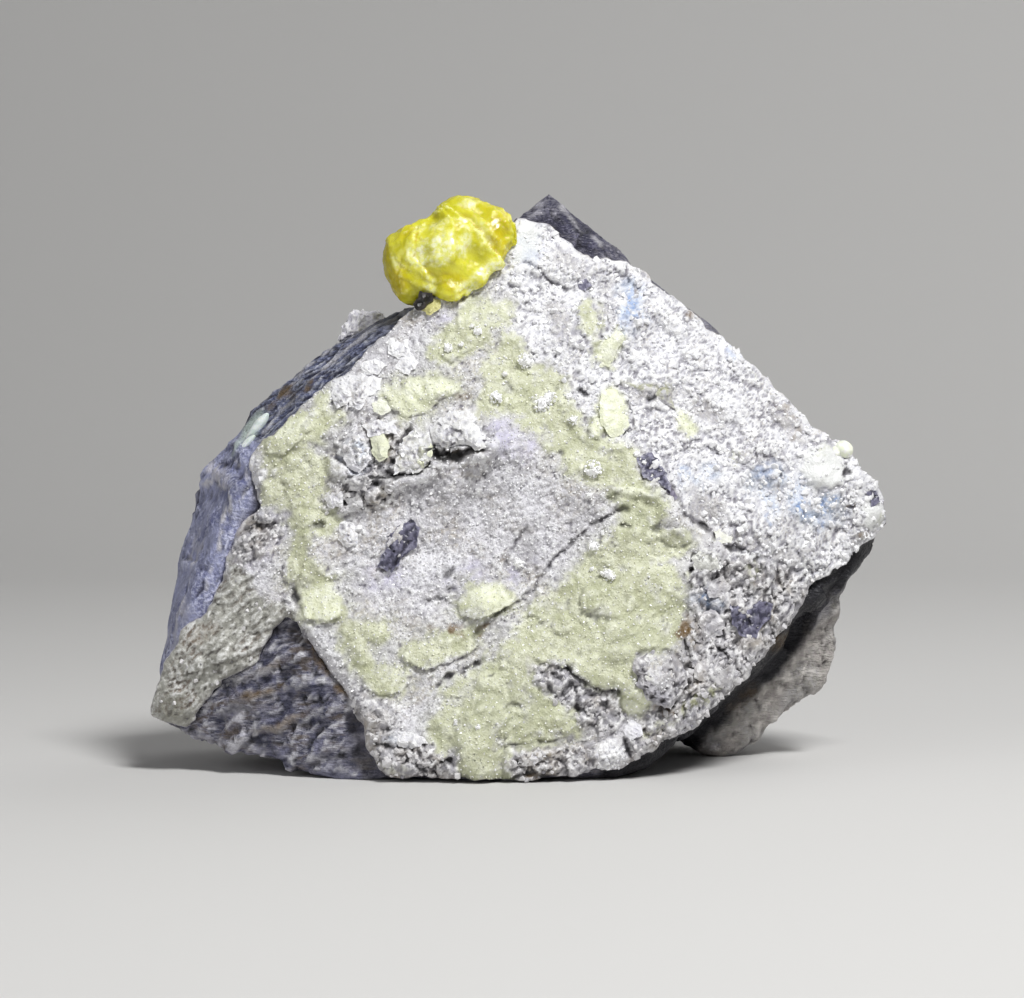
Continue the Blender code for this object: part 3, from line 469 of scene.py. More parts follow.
# Thick soft lobes of the druse: (outline, height in mm, which way they rise in the picture).
PLATES = {
    "left_crest": ([(266, 452), (265, 436), (281, 419), (303, 418), (312, 428), (298, 442), (284, 456)],
        1.0, (0.1, 1.0)),
    "left_ear": ([(305, 417), (326, 388), (334, 391), (332, 406), (318, 416)], 0.7, (0.5, 0.8)),
    "left_lobe": ([(300, 602), (304, 587), (318, 580), (334, 583), (344, 600), (340, 615), (324, 621),
        (306, 619)], 1.0, (0.0, 1.0)),
    "left_low": ([(361, 676), (374, 669), (401, 664), (412, 680), (403, 693), (378, 693), (364, 688)], 0.7,
        (0.0, 1.0)),
    "middle_lobe": ([(456, 602), (466, 590), (480, 583), (498, 580), (508, 592), (517, 601), (500, 609),
        (474, 619), (460, 614)], 1.2, (0.2, 1.0)),
    "cheek": ([(402, 660), (406, 647), (424, 640), (450, 638), (472, 630), (484, 637), (474, 650),
        (450, 663), (424, 669)], 0.9, (0.0, 1.0)),
    "shelf": ([(379, 387), (394, 382), (428, 378), (459, 379), (457, 394), (439, 401), (430, 413),
        (406, 418), (392, 409)], 0.8, (0.0, 1.0)),
    "crown": ([(438, 352), (452, 322), (470, 300), (506, 302), (514, 316), (492, 329), (480, 344),
        (450, 362)], 0.5, (0.2, 1.0)),
    "ledge_bank": ([(334, 440), (352, 424), (400, 414), (440, 404), (478, 408), (490, 440), (434, 446),
        (428, 466), (392, 478), (350, 474)], 0.9, (0.2, 1.0)),
}

# Chips and lumps with broken edges that stand on the crust:
# (outline, height in mm, which way they rise in the picture, what they are made of).
FLAKES = {
    "ledge": ([(431, 428), (436, 420), (449, 413), (464, 415), (480, 425), (482, 434), (486, 443),
        (479, 449), (464, 442), (453, 443), (446, 445), (432, 439)], 2.7, (0.3, 1.0), {"white": 1.0,
        "olive": 0.1}),
    "ledge_back": ([(438, 420), (450, 411), (468, 410), (478, 418), (466, 424), (448, 426)], 1.4,
        (0.0, 0.6), {"white": 1.0}),
    "blob": ([(403, 438), (414, 430), (425, 428), (434, 437), (432, 453), (427, 464), (418, 471),
        (404, 469), (393, 475), (396, 458)], 1.5, (0.5, 1.0), {"white": 0.9, "olive": 0.25}),
    "blob_right": ([(420, 442), (432, 440), (434, 452), (427, 464), (416, 468), (412, 458)], 2.0,
        (0.4, 0.8), {"pale_green": 1.0}),
    "oval": ([(371, 438), (378, 432), (385, 433), (390, 443), (388, 455), (380, 461), (373, 455)], 1.5,
        (0.3, 0.3), {"pale_green": 0.9, "olive": 0.3}),
    "lilac": ([(343, 443), (353, 435), (364, 433), (369, 448), (371, 459), (360, 471), (350, 469),
        (343, 458)], 1.1, (0.2, 1.0), {"white": 0.8, "lilac": 1.0}),
    "lilac_top": ([(362, 424), (378, 420), (394, 422), (398, 432), (384, 432), (370, 436)], 1.0, (0.2, 0.8),
        {"white": 0.8, "lilac": 0.6}),
    "knob_left": ([(331, 395), (334, 385), (344, 382), (352, 392), (348, 405), (336, 406)], 1.0, (0.1, 1.0),
        {"white": 1.0}),
    "knob_middle": ([(344, 378), (360, 372), (372, 378), (368, 396), (361, 408), (350, 406), (350, 392)],
        1.4, (0.3, 1.0), {"white": 1.0}),
    "knob_right": ([(366, 377), (382, 376), (380, 388), (370, 396), (362, 390)], 1.0, (0.6, 0.8),
        {"white": 1.0}),
    "cream": ([(373, 403), (379, 398), (388, 401), (390, 409), (384, 414), (374, 412)], 1.0, (0.3, 0.6),
        {"pale_green": 0.7, "white": 0.5}),
    "shoulder_a": ([(386, 342), (396, 336), (408, 340), (410, 352), (398, 358), (388, 352)], 0.7,
        (0.2, 0.8), {"white": 1.0}),
    "shoulder_b": ([(398, 356), (410, 352), (418, 362), (408, 374), (396, 368)], 0.8, (0.2, 1.0),
        {"white": 1.0}),
    "shoulder_c": ([(360, 364), (376, 358), (386, 364), (378, 374), (362, 374)], 0.7, (0.2, 1.0),
        {"white": 1.0}),
    "ball": ([(338, 526), (344, 521), (353, 523), (359, 533), (357, 543), (346, 546), (339, 538)], 1.1,
        (0.0, 0.4), {"white": 1.0}),
    "crumb_a": ([(324, 494), (336, 486), (346, 492), (342, 506), (328, 506)], 1.0, (0.0, 0.8),
        {"white": 0.6}),
    "crumb_b": ([(348, 480), (362, 475), (372, 482), (364, 490), (350, 490)], 0.9, (0.1, 0.8),
        {"stone": 0.8}),
    "crumb_c": ([(366, 490), (378, 486), (388, 494), (378, 504), (366, 500)], 0.8, (0.1, 0.8),
        {"stone": 1.0}),
    "crumb_d": ([(346, 498), (360, 496), (364, 506), (350, 512)], 0.7, (0.1, 0.8), {"white": 0.5}),
    "nodule": ([(631, 667), (634, 659), (642, 656), (654, 649), (664, 655), (674, 654), (685, 666),
        (687, 682), (680, 688), (677, 696), (670, 706), (658, 703), (648, 698), (636, 682), (637, 674)],
        1.9, (0.2, 0.6), {"stone": 0.9, "foil": 1.0}),
    "tall_lobe": ([(603, 392), (614, 388), (624, 402), (629, 424), (622, 435), (611, 437), (601, 426),
        (599, 406)], 0.8, (0.4, 0.7), {"pale_green": 1.0}),
    "leaning_plate": ([(602, 344), (619, 330), (626, 336), (615, 354), (610, 365), (599, 366)], 0.8,
        (0.8, 0.3), {"pale_green": 0.9}),
    "high_flake": ([(660, 384), (671, 390), (674, 408), (664, 404), (655, 394)], 0.8, (1.0, 0.4),
        {"stone": 0.7, "olive": 0.7}),
    "bottom_chip": ([(596, 744), (610, 738), (624, 750), (616, 768), (598, 768)], 0.8, (0.3, 0.8),
        {"white": 1.0}),
    "foot_plate": ([(392, 736), (404, 731), (424, 736), (428, 742), (416, 747), (400, 745)], 1.1,
        (0.0, 1.0), {"white": 0.9, "lilac": 0.4}),
    "pink_chip": ([(518, 762), (524, 754), (540, 750), (548, 756), (534, 764)], 0.8, (0.0, 0.8),
        {"white": 0.8, "rust": 0.15}),
    "foot_chip": ([(360, 712), (370, 704), (384, 706), (392, 716), (386, 728), (368, 728)], 0.9, (0.1, 0.8),
        {"stone": 0.9}),
    "blue_crystal": ([(624, 726), (632, 719), (642, 724), (642, 734), (632, 739), (625, 735)], 0.9,
        (0.2, 0.5), {"white": 0.7, "lilac": 0.8}),
    "bowl": ([(690, 558), (700, 551), (716, 555), (720, 566), (708, 572), (694, 569)], 1.0, (0.1, 0.8),
        {"white": 0.8, "pale_green": 0.3}),
    "bowl_high": ([(713, 532), (722, 528), (733, 534), (730, 542), (718, 543)], 0.7, (0.1, 0.8),
        {"white": 0.5, "pale_green": 0.5}),
    "veil_a": ([(694, 664), (712, 656), (720, 668), (706, 682), (694, 678)], 0.8, (0.3, 0.8),
        {"stone": 0.7}),
    "veil_b": ([(716, 672), (734, 664), (742, 674), (730, 688), (716, 686)], 0.8, (0.3, 0.8),
        {"stone": 0.5}),
    "block_a": ([(696, 616), (712, 608), (726, 618), (722, 634), (704, 640)], 0.9, (0.3, 0.8),
        {"stone": 0.7}),
    "block_b": ([(706, 582), (722, 576), (732, 586), (722, 598), (708, 596)], 0.8, (0.2, 0.8),
        {"stone": 0.4}),
    "block_c": ([(742, 634), (760, 628), (764, 644), (750, 660), (738, 650)], 0.8, (0.3, 0.8),
        {"stone": 0.8}),
    "slate_left": ([(404, 523), (412, 520), (420, 528), (418, 536), (417, 545), (408, 551), (402, 557),
        (399, 565), (392, 571), (377, 566), (380, 556), (386, 547), (388, 534), (394, 530)], 0.75,
        (0.3, 0.4), {"slate": 1.0}),
    "slate_right": ([(637, 457), (646, 451), (655, 454), (661, 464), (667, 474), (671, 489), (664, 486),
        (656, 479), (648, 479), (640, 472)], 1.0, (0.3, 0.8), {"slate": 1.0}),
    "slate_tail": ([(662, 484), (671, 484), (678, 496), (674, 500)], 0.5, (0.3, 0.8), {"slate": 1.0,
        "rust": 0.2}),
    "slate_patch": ([(730, 604), (746, 608), (760, 599), (772, 603), (770, 616), (760, 626), (756, 636),
        (742, 634), (732, 622)], 1.2, (0.2, 0.6), {"slate": 1.0}),
    "slate_high": ([(577, 281), (586, 278), (591, 284), (585, 291), (579, 289)], 0.5, (0.2, 0.6),
        {"slate": 1.0}),
    "slate_corner": ([(866, 491), (876, 491), (880, 502), (872, 506)], 0.5, (0.3, 0.6), {"slate": 1.0}),
    # The slate chip under the yellow crystals is painted near black: a painted shadow.
    "slate_under_yellow": ([(413, 301), (418, 296), (419, 290), (426, 291), (433, 291), (434, 297),
        (428, 301), (424, 305), (417, 305)], 2.4, (0.0, 0.6), {"slate": 1.0, "soot": 1.0}),
    "yellow_fragment": ([(419, 307), (425, 301), (433, 298), (440, 300), (441, 306), (435, 311),
        (426, 313)], 1.9, (0.0, 0.6), {"lemon": 0.75}),
}

# Steps and ridges: (path, height in mm, how far the raised side carries in mm, width of the drop in mm).
# The raised side is on the left of the path as it runs.
STEPS = {
    "ledge": ([(487, 441), (478, 449), (462, 445), (446, 446), (434, 446)], 1.6, 3.0, 0.35),
    "ledge_left": ([(433, 462), (420, 473), (405, 471), (392, 477), (378, 466), (360, 474), (342, 464)],
        1.2, 2.5, 0.4),
    "fold": ([(744, 548), (720, 540), (697, 524), (682, 509), (674, 490), (666, 470)], 0.7, 4.0, 0.5),
    "fold_high": ([(640, 452), (628, 437), (604, 438), (586, 424), (574, 398)], 0.4, 3.0, 0.5),
    "left_ridge": ([(248, 578), (262, 566), (272, 553), (280, 538)], 0.45, 2.0, 0.35),
    "lip": ([(650, 492), (632, 487), (612, 486), (604, 492)], 0.5, 1.5, 0.3),
    "patch_edge": ([(552, 664), (566, 667), (586, 682), (604, 688), (622, 694)], 0.7, 3.0, 0.35),
    "belly_edge": ([(697, 560), (690, 590), (690, 615), (686, 650)], 0.5, 2.5, 0.5),
    "streak": ([(618, 382), (640, 390), (656, 392)], 0.4, 2.0, 0.4),
    "tongue_left": ([(436, 744), (446, 756), (452, 772), (458, 786)], -0.6, 3.0, 0.5),
    "tongue_right": ([(512, 786), (504, 768), (506, 748), (530, 752), (560, 746), (578, 740)], -0.6, 3.0,
        0.5),
    "left_foot": ([(344, 700), (332, 676), (314, 648), (298, 622)], -0.5, 2.0, 0.5),
    "pale_crack_lip": ([(486, 624), (508, 610), (522, 596)], 0.5, 2.0, 0.4),
    "wing_ridge": ([(192, 672), (228, 660), (262, 647)], 0.45, 1.6, 0.4),
    "wing_ridge_low": ([(236, 690), (256, 677), (272, 674)], 0.4, 1.5, 0.4),
}

# Cracks: (path, depth in mm, half width in mm, darkness of the painted shade in them).
CRACKS = {
    "long": ([(622, 509), (604, 518), (593, 524), (578, 538), (566, 549), (553, 561), (541, 577),
        (532, 591), (517, 601), (495, 614)], 0.55, 0.28, 0.55),
    "long_low": ([(495, 614), (480, 627), (472, 641)], 0.5, 0.5, 0.4),
    "second": ([(484, 660), (470, 666), (456, 672), (438, 684)], 0.7, 0.36, 0.9),
    "groove": ([(526, 530), (518, 541), (508, 556), (506, 566)], 0.4, 0.4, 0.45),
    "crevice": ([(671, 486), (677, 500), (684, 514), (697, 523), (712, 534), (728, 545), (742, 549)], 0.8,
        0.42, 0.8),
    "crevice_far": ([(756, 556), (780, 562), (806, 575)], 0.3, 0.3, 0.35),
    "patch_top": ([(566, 667), (574, 676), (588, 682), (606, 690), (622, 693)], 0.7, 0.35, 0.9),
    "patch_vein": ([(574, 690), (577, 704), (573, 718)], 0.4, 0.3, 0.6),
    "brow_line": ([(628, 403), (632, 414), (633, 426)], 0.35, 0.22, 0.7),
    "hairline": ([(700, 440), (691, 444), (684, 452)], 0.3, 0.22, 0.6),
    "corner_line": ([(797, 552), (804, 560), (812, 573)], 0.3, 0.3, 0.5),
    "ledge_line": ([(371, 474), (388, 472), (404, 474), (429, 464)], 0.8, 0.45, 0.9),
    "top_cut": ([(526, 262), (540, 268), (552, 282), (566, 290), (580, 286)], 0.35, 0.3, 0.5),
    "nodule_rim": ([(632, 664), (642, 652), (658, 649), (676, 655), (688, 670)], 0.4, 0.4, 0.5),
    "vein_block": ([(686, 640), (688, 656), (692, 670)], 0.4, 0.3, 0.5),
    "block_split": ([(762, 600), (768, 618), (764, 634)], 0.4, 0.3, 0.7),
    "low_line": ([(504, 746), (530, 744), (560, 741), (590, 742)], 0.35, 0.3, 0.55),
    "bottom_line": ([(510, 782), (526, 774), (548, 778), (562, 784)], 0.5, 0.5, 0.85),
    "low_left_line": ([(376, 744), (400, 748), (424, 746)], 0.5, 0.4, 0.8),
}

# Tufts of snow-white crystals: (u, v, radius in pixels).
SNOW_TUFTS = [
    (525, 360, 8), (496, 397, 6.5), (541, 405, 8), (549, 398, 7), (569, 396, 4), (573, 420, 5),
    (593, 469, 9), (589, 495, 4.5), (594, 547, 6), (610, 575, 6), (592, 569, 3), (519, 563, 6),
    (603, 533, 3), (478, 331, 5), (448, 348, 5), (472, 326, 3), (461, 344, 3), (604, 573, 4),
    (715, 566, 6), (637, 454, 4), (628, 445, 4), (644, 463, 3.5), (505, 374, 3), (455, 722, 3.5),
    (478, 727, 3),
]


# ---------------------------------------------------------------- zones of the slate, same frame

SLATE_ZONES = {
    "strip": [(258, 440), (262, 460), (254, 486), (258, 508), (240, 524), (238, 548), (226, 590),
        (204, 620), (176, 646), (164, 676), (150, 700), (140, 700), (150, 600), (190, 470), (240, 430)],
    "bevel": [(250, 400), (300, 340), (370, 300), (424, 290), (430, 306), (404, 326), (360, 360),
        (330, 386), (300, 410), (266, 440), (244, 440)],
    "peak": [(505, 200), (548, 185), (640, 260), (630, 275), (600, 262), (560, 240), (546, 225),
        (520, 222)],
    "triangle": [(290, 612), (304, 630), (330, 664), (352, 702), (346, 760), (380, 792), (300, 780),
        (250, 764), (160, 740), (150, 724), (206, 694), (226, 670), (264, 652), (276, 632)],
    # Painted shadow: the slate below the crust's lower right edge is painted near black where the shade
    # lies.
    "band": [(872, 534), (852, 536), (800, 590), (780, 622), (752, 664), (700, 710), (640, 742), (600, 764),
        (600, 790), (690, 756), (716, 730), (762, 690), (800, 650), (830, 600), (880, 545)],
    "rear_ledge": [(845, 590), (832, 596), (806, 640), (770, 668), (730, 706), (690, 735), (690, 762),
        (760, 750), (830, 690), (850, 630)],
}
# Soft tints of the slate, as those of the crust above.
SLATE_RUST = {
    "bevel_a": (285, 393, 10, 6, -45, 1.0),
    "bevel_b": (309, 386, 8, 4, -35, 0.8),
    "bevel_c": (272, 408, 8, 4, -50, 0.7),
    "triangle_a": (320, 660, 5, 22, -28, 0.8),
    "triangle_b": (262, 694, 30, 4, -18, 0.6),
    "triangle_c": (340, 690, 10, 5, 50, 0.7),
    "triangle_d": (288, 722, 34, 5, -22, 0.5),
    "triangle_e": (276, 664, 22, 4, -20, 0.45),
    "ledge_a": (776, 640, 14, 10, -40, 0.35),
    "ledge_b": (742, 700, 22, 10, -40, 0.3),
}
SLATE_PALE = {
    "strip_patch": (219, 474, 9, 20, -35, 0.95),
    "strip_vein": (222, 530, 2.2, 26, 10, 0.8),
    "strip_vein_b": (232, 556, 1.8, 22, 14, 0.5),
    # Painted highlights on the smooth strip.
    "strip_highlight": (195, 546, 8, 18, 10, 0.5),
    "strip_highlight_b": (186, 610, 9, 14, 10, 0.7),
    "strip_highlight_c": (170, 640, 5, 14, 20, 0.5),
    "wing_white": (198, 683, 10, 8, 0, 0.7),
    "triangle_ridge": (254, 678, 20, 2.5, -20, 0.9),
    "bottom_left": (228, 744, 44, 8, 12, 0.6),
    "triangle_low": (240, 712, 28, 12, -15, 0.5),
    "bottom_mid": (330, 762, 26, 8, 14, 0.4),
    "triangle_edge": (338, 672, 3, 36, -28, 0.5),
    "ledge_knob": (826, 612, 12, 14, -30, 0.4),
    "ledge_low": (710, 744, 14, 8, -20, 0.45),
    "peak_left": (534, 208, 14, 9, -35, 0.6),
    "peak_edge": (556, 214, 4, 12, -50, 0.45),
    "bevel_edge": (350, 345, 40, 4, -38, 0.35),
}
SLATE_MINT = {
    "smear": (252, 428, 7, 20, 32, 1.0),
    "smear_low": (240, 448, 4, 12, 30, 0.8),
}
SLATE_DARK = {
    "dimple": (211, 496, 9, 8, 0, 0.6),
    "strip_blue": (241, 486, 14, 18, 10, 0.4),
    "apex": (286, 634, 15, 14, 0, 0.7),
    "wing_dark": (236, 682, 22, 8, -18, 0.6),
    "triangle_blue": (316, 716, 20, 14, -20, 0.35),
    "bevel_dark": (400, 312, 22, 5, -35, 0.5),
    "peak_right": (582, 228, 20, 7, 48, 0.55),
}
# Thin pale seams on the slate: (path, half width in mm, strength).
SLATE_VEINS = {
    "strip": ([(228, 506), (223, 524), (221, 540), (218, 556)], 0.14, 0.9),
    "strip_fork": ([(222, 540), (214, 566), (206, 590)], 0.1, 0.6),
    "strip_low": ([(196, 560), (190, 590), (180, 618), (172, 640)], 0.1, 0.5),
    "dimple_rim": ([(204, 484), (214, 480), (226, 486), (234, 500), (232, 512)], 0.14, 0.8),
    "high": ([(236, 462), (246, 470), (250, 486), (244, 502)], 0.1, 0.5),
    "triangle_edge": ([(307, 630), (326, 660), (340, 684), (352, 704)], 0.3, 0.7),
    "triangle_ridge": ([(232, 684), (252, 676), (274, 668)], 0.25, 0.9),
    "peak": ([(548, 192), (562, 206), (580, 226), (604, 246)], 0.16, 0.5),
    "bevel": ([(270, 410), (300, 374), (340, 340), (384, 312)], 0.12, 0.5),
    "bevel_low": ([(262, 432), (296, 396), (330, 362), (366, 334), (410, 306)], 0.12, 0.45),
}
# Steps and ridges on the slate, as STEPS above.
SLATE_STEPS = {
    "dimple": ([(194, 506), (203, 486), (214, 479), (227, 486), (234, 502), (231, 522), (224, 546)], 0.55,
        2.6, 0.5),
    "shoulder": ([(236, 452), (246, 468), (250, 488), (243, 506)], 0.4, 2.0, 0.5),
    "flank": ([(222, 540), (212, 566), (204, 592), (186, 618)], 0.4, 2.6, 0.5),
    "foot": ([(196, 560), (188, 590), (178, 622), (168, 650)], 0.35, 2.0, 0.5),
    "ridge": ([(230, 686), (252, 676), (276, 668), (298, 662)], 0.8, 2.0, 0.5),
    "ridge_middle": ([(214, 714), (250, 703), (290, 690), (332, 684)], 0.7, 2.2, 0.5),
    "ridge_low": ([(236, 746), (280, 730), (322, 716), (356, 710)], 0.6, 2.2, 0.5),
    "ridge_foot": ([(290, 770), (330, 752), (372, 742)], 0.5, 2.0, 0.5),
}


# ---------------------------------------------------------------- the yellow crystals, same frame

# Curved plate edges, as STEPS above.
YELLOW_STEPS = {
    "leaf": ([(499, 256), (487, 244), (480, 232), (470, 221), (456, 213)], 0.55, 2.6, 0.3),
    "leaf_inner": ([(506, 246), (496, 232), (486, 220), (474, 212)], 0.25, 1.4, 0.25),
    "top_shell": ([(512, 226), (500, 210), (482, 201), (464, 199)], 0.25, 1.2, 0.25),
    "middle": ([(455, 252), (455, 238), (453, 222), (446, 214)], 0.35, 1.8, 0.3),
    "left_fold": ([(431, 292), (433, 280), (424, 268), (414, 256), (416, 242)], 0.4, 2.0, 0.3),
    "left_low": ([(402, 262), (398, 276), (402, 290)], 0.2, 1.2, 0.25),
    "skirt": ([(488, 274), (474, 288), (454, 298), (440, 302)], 0.3, 1.4, 0.3),
    "brow": ([(408, 232), (422, 226), (436, 218)], 0.25, 1.2, 0.25),
}
# Where lobes run together: (u, v, depth in mm, half sizes in mm).
YELLOW_FILLS = {
    "saddle": (425, 235, 0.6, (2.1, 3.2, 2.1)),
    "saddle_low": (420, 246, -1.0, (2.4, 3.0, 2.4)),
    "skirt": (450, 292, -4.2, (2.2, 1.8, 1.4)),
    "skirt_right": (476, 277, -3.4, (2.2, 1.8, 1.5)),
    "skirt_tip": (495, 263, -2.4, (1.8, 1.6, 1.2)),
}
# Deeper yellow, and cloudy white that is partly painted highlight where the light falls, as the soft tints
# above.
AMBER_TINTS = {
    "left": (394, 284, 16, 20, 20, 0.85),
    "left_edge": (386, 262, 6, 26, 0, 0.7),
    "right": (498, 230, 13, 20, 15, 0.7),
    "right_low": (508, 248, 9, 12, 0, 0.55),
    "belly": (452, 282, 18, 11, 15, 0.6),
    "belly_low": (430, 276, 8, 8, 0, 0.3),
    "top": (480, 212, 20, 8, 20, 0.3),
    "left_top": (408, 234, 12, 6, -25, 0.4),
}
FROST_AND_HIGHLIGHT_TINTS = {
    "middle": (444, 246, 15, 15, 0, 1.0),
    "middle_low": (437, 260, 15, 7, 0, 0.7),
    "left": (418, 256, 14, 12, 30, 0.9),
    "left_high": (424, 246, 8, 6, 0, 0.7),
    "right": (464, 246, 8, 14, 10, 0.8),
    "high": (440, 226, 12, 5, -10, 0.5),
    "high_b": (420, 230, 8, 4, -30, 0.45),
    "leaf": (482, 232, 8, 18, -30, 0.4),
    "left_spot": (396, 262, 9, 5, 60, 0.35),
    "skirt": (430, 286, 6, 12, 0, 0.5),
    "skirt_right": (488, 270, 20, 8, -25, 1.0),
    "low_right": (466, 288, 14, 7, -25, 0.7),
    "top": (466, 204, 10, 5, -10, 0.4),
}

# Rounded bits of their own: (centre in mm, half sizes in mm, turn about Y in degrees, ripple in mm).
GREEN_BUD = {
    "ball": ((44.35, 1.5, 43.15), (1.35, 1.4, 1.35), 0.0, 0.25),
    "side": ((43.2, 1.0, 42.8), (1.0, 1.1, 0.95), 0.0, 0.2),
}
MINT_LEAF = {
    "long": ((-36.7, -2.6, 46.3), (0.75, 0.8, 2.6), 37.0, 0.14),
    "low": ((-38.1, -4.3, 44.1), (0.55, 0.7, 1.8), 42.0, 0.12),
}


# ---------------------------------------------------------------- small tools


def smooth_rise(value, low, high):
    """0 below low, 1 above high, with a soft start and end."""
    share = np.clip((value - low) / (high - low), 0.0, 1.0)
    return share * share * (3.0 - 2.0 * share)


def ripples(points, size, seed=0):
    """Gradient noise, -1 to 1, with features of about that size in millimetres."""
    shifted = np.asarray(points, float) / size + NOISE_SHIFT * (seed + 1)
    return np.array([noise.noise(point) for point in shifted.tolist()])


def layered_ripples(points, size, octaves=3, seed=0):
    """Ripples with finer ripples on them."""
    total = sum(ripples(points, size / 2**octave, seed + octave) / 2**octave for octave in range(octaves))
    return total / (2.0 - 0.5 ** (octaves - 1))


def wander(points, size, *seeds):
    """A column of ripples for each seed, to bend a pattern with."""
    return np.stack([ripples(points, size, seed) for seed in seeds], 1)


def cells(points, size, seed=0):
    """Random cells: (distance to the border, a random vector for each cell, offset from its centre)."""
    shifted = np.asarray(points, float) / size + CELL_SHIFT * (seed + 1)
    found = [noise.voronoi(point) for point in shifted.tolist()]
    distances = np.array([f[0][:2] for f in found])
    centres = np.array([f[1][0] for f in found])
    chance = np.array([noise.cell_vector((centre * CELL_SCRAMBLE).tolist()) for centre in centres])
    return (distances[:, 1] - distances[:, 0]) * size, chance - 0.5, (shifted - centres) * size


def facets(points, size, height, tilt, seed=0, groove=0.0):
    """Broken faces: each cell has its own height and slope, and may have a groove round it."""
    border, chance, offset = cells(points, size, seed)
    faces = chance[:, 0] * height + tilt * (offset * chance).sum(1)
    return faces - groove * height * (1.0 - smooth_rise(border, 0.0, 0.25 * size))


def blocks(points, size, height, tilt, seed=0):
    """Flat-faced blocks with grooves between them."""
    return facets(points, size, height, tilt, seed, 0.5)


def beads(points, size, height, seed=0):
    """Soft rounded pillows side by side."""
    border, chance, _ = cells(points, size, seed)
    return height * (0.7 + 0.6 * chance[:, 0]) * smooth_rise(border, -0.1 * size, 0.7 * size)


def wrinkles(points, size, octaves=3, seed=0):
    """Sharp-crested folds, up to 1."""
    total = sum(0.6**octave * (1.0 - 2.4 * np.abs(ripples(points, size / 2**octave, seed + octave)))
                for octave in range(octaves))
    return total / sum(0.6**octave for octave in range(octaves))


def leaves(points, across, size, height, seed=0):
    """Split stone: thin leaves stacked along a direction, each ending in a small cliff."""
    stretched = points - 0.8 * np.outer(points @ across, across)
    along = points @ across + 0.9 * size * ripples(stretched, 3.5 * size, seed)
    place = (along / size) % 1.0
    thickness = 0.6 + 0.8 * np.abs(ripples(np.floor(along / size)[:, None] * [3.1, 5.7, 7.3], 1.0, seed))
    return height * thickness * (place - smooth_rise(place, 0.8, 1.0) - 0.4)


def turned_by(degrees):
    """A turn about Y, so that streaks rise to the right at that angle."""
    angle = math.radians(degrees)
    return np.array([[math.cos(angle), 0.0, -math.sin(angle)], [0.0, 1.0, 0.0],
                     [math.sin(angle), 0.0, math.cos(angle)]])


def tilted_leaf(rise, lean):
    """The direction across leaves that rise to the right at an angle in degrees, and lean back."""
    angle = math.radians(rise)
    across = np.array([-math.sin(angle), lean, math.cos(angle)])
    return across / np.linalg.norm(across)


def blurred(grid, sigma):
    """The grid after a Gaussian blur of sigma cells."""
    reach = int(math.ceil(3 * sigma))
    weights = np.exp(-0.5 * (np.arange(-reach, reach + 1) / sigma) ** 2)
    weights /= weights.sum()
    for axis in (0, 1):
        grid = np.apply_along_axis(np.convolve, axis, grid, weights, mode="same")
    return grid


def picture_place(points):
    """Where points in millimetres fall in the front camera's picture."""
    away = np.asarray(points, float) - np.array(CAMERA_PLACE)
    cosine, sine = math.cos(CAMERA_TILT), math.sin(CAMERA_TILT)
    depth = away[:, 1] * cosine - away[:, 2] * sine
    rise = away[:, 1] * sine + away[:, 2] * cosine
    across = PICTURE[0] / 2 + FOCAL_PIXELS * away[:, 0] / depth
    down = PICTURE[1] / 2 - FOCAL_PIXELS * rise / depth
    return np.stack([across, down], 1)


def from_picture(places, depth):
    """The points in millimetres seen at those places, where they reach that depth."""
    right = (places[:, 0] - PICTURE[0] / 2) / FOCAL_PIXELS
    up = (PICTURE[1] / 2 - places[:, 1]) / FOCAL_PIXELS
    cosine, sine = math.cos(CAMERA_TILT), math.sin(CAMERA_TILT)
    ray = np.stack([right, cosine + up * sine, up * cosine - sine], 1)
    reach = (depth - CAMERA_PLACE[1]) / ray[:, 1]
    return np.array(CAMERA_PLACE) + reach[:, None] * ray


def near(places, outline, margin):
    """Indices of the places within an outline's box, with a margin in pixels."""
    outline = np.array(outline, float)
    low, high = outline.min(0) - margin, outline.max(0) + margin
    return np.nonzero(((places > low) & (places < high)).all(1))[0]


def path_distance(places, path):
    """(distance in mm, side) of places from a path in the picture; side is positive on its left."""
    path = np.array(path, float)
    best = np.full(len(places), np.inf)
    side = np.zeros(len(places))
    for start, end in zip(path[:-1], path[1:]):
        run = end - start
        away = places - start
        along = np.clip(away @ run / (run @ run), 0.0, 1.0)
        gap = away - along[:, None] * run
        distance = np.hypot(gap[:, 0], gap[:, 1])
        closer = distance < best
        best = np.where(closer, distance, best)
        turned = away[:, 1] * run[0] - away[:, 0] * run[1]
        side = np.where(closer, -np.sign(turned), side)
    return best * MM_PER_PIXEL, side


def soft_line(places, path, core, rim, margin):
    """(indices, strength) of a line in the picture: 1 within core mm of its path, 0 past rim mm.

    Only places within the margin, in pixels, of the path's box are looked at.
    """
    index = near(places, path, margin)
    distance, _ = path_distance(places[index], path)
    return index, 1.0 - smooth_rise(distance, core, rim)


def stepped(places, steps):
    """How far steps and ridges stand out, in millimetres."""
    out = np.zeros(len(places))
    for path, height, carry, drop in steps.values():
        index = near(places, path, 1.2 * carry / MM_PER_PIXEL)
        distance, side = path_distance(places[index], path)
        signed = distance * side
        raised = smooth_rise(signed, -drop / 2, drop / 2) * (1.0 - smooth_rise(signed, 0.4 * carry, carry))
        out[index] += height * raised
    return out


def outline_distance(places, corners):
    """Distance in mm of places from a closed outline in the picture, positive inside."""
    corners = np.array(corners, float)
    following = np.roll(corners, -1, axis=0)
    inside = np.zeros(len(places), bool)
    for (x0, y0), (x1, y1) in zip(corners, following):
        crosses = (y0 > places[:, 1]) != (y1 > places[:, 1])
        with np.errstate(divide="ignore", invalid="ignore"):
            meets = (x1 - x0) * (places[:, 1] - y0) / (y1 - y0) + x0
        inside ^= crosses & (places[:, 0] < meets)
    distance, _ = path_distance(places, np.vstack([corners, corners[:1]]))
    return np.where(inside, distance, -distance)


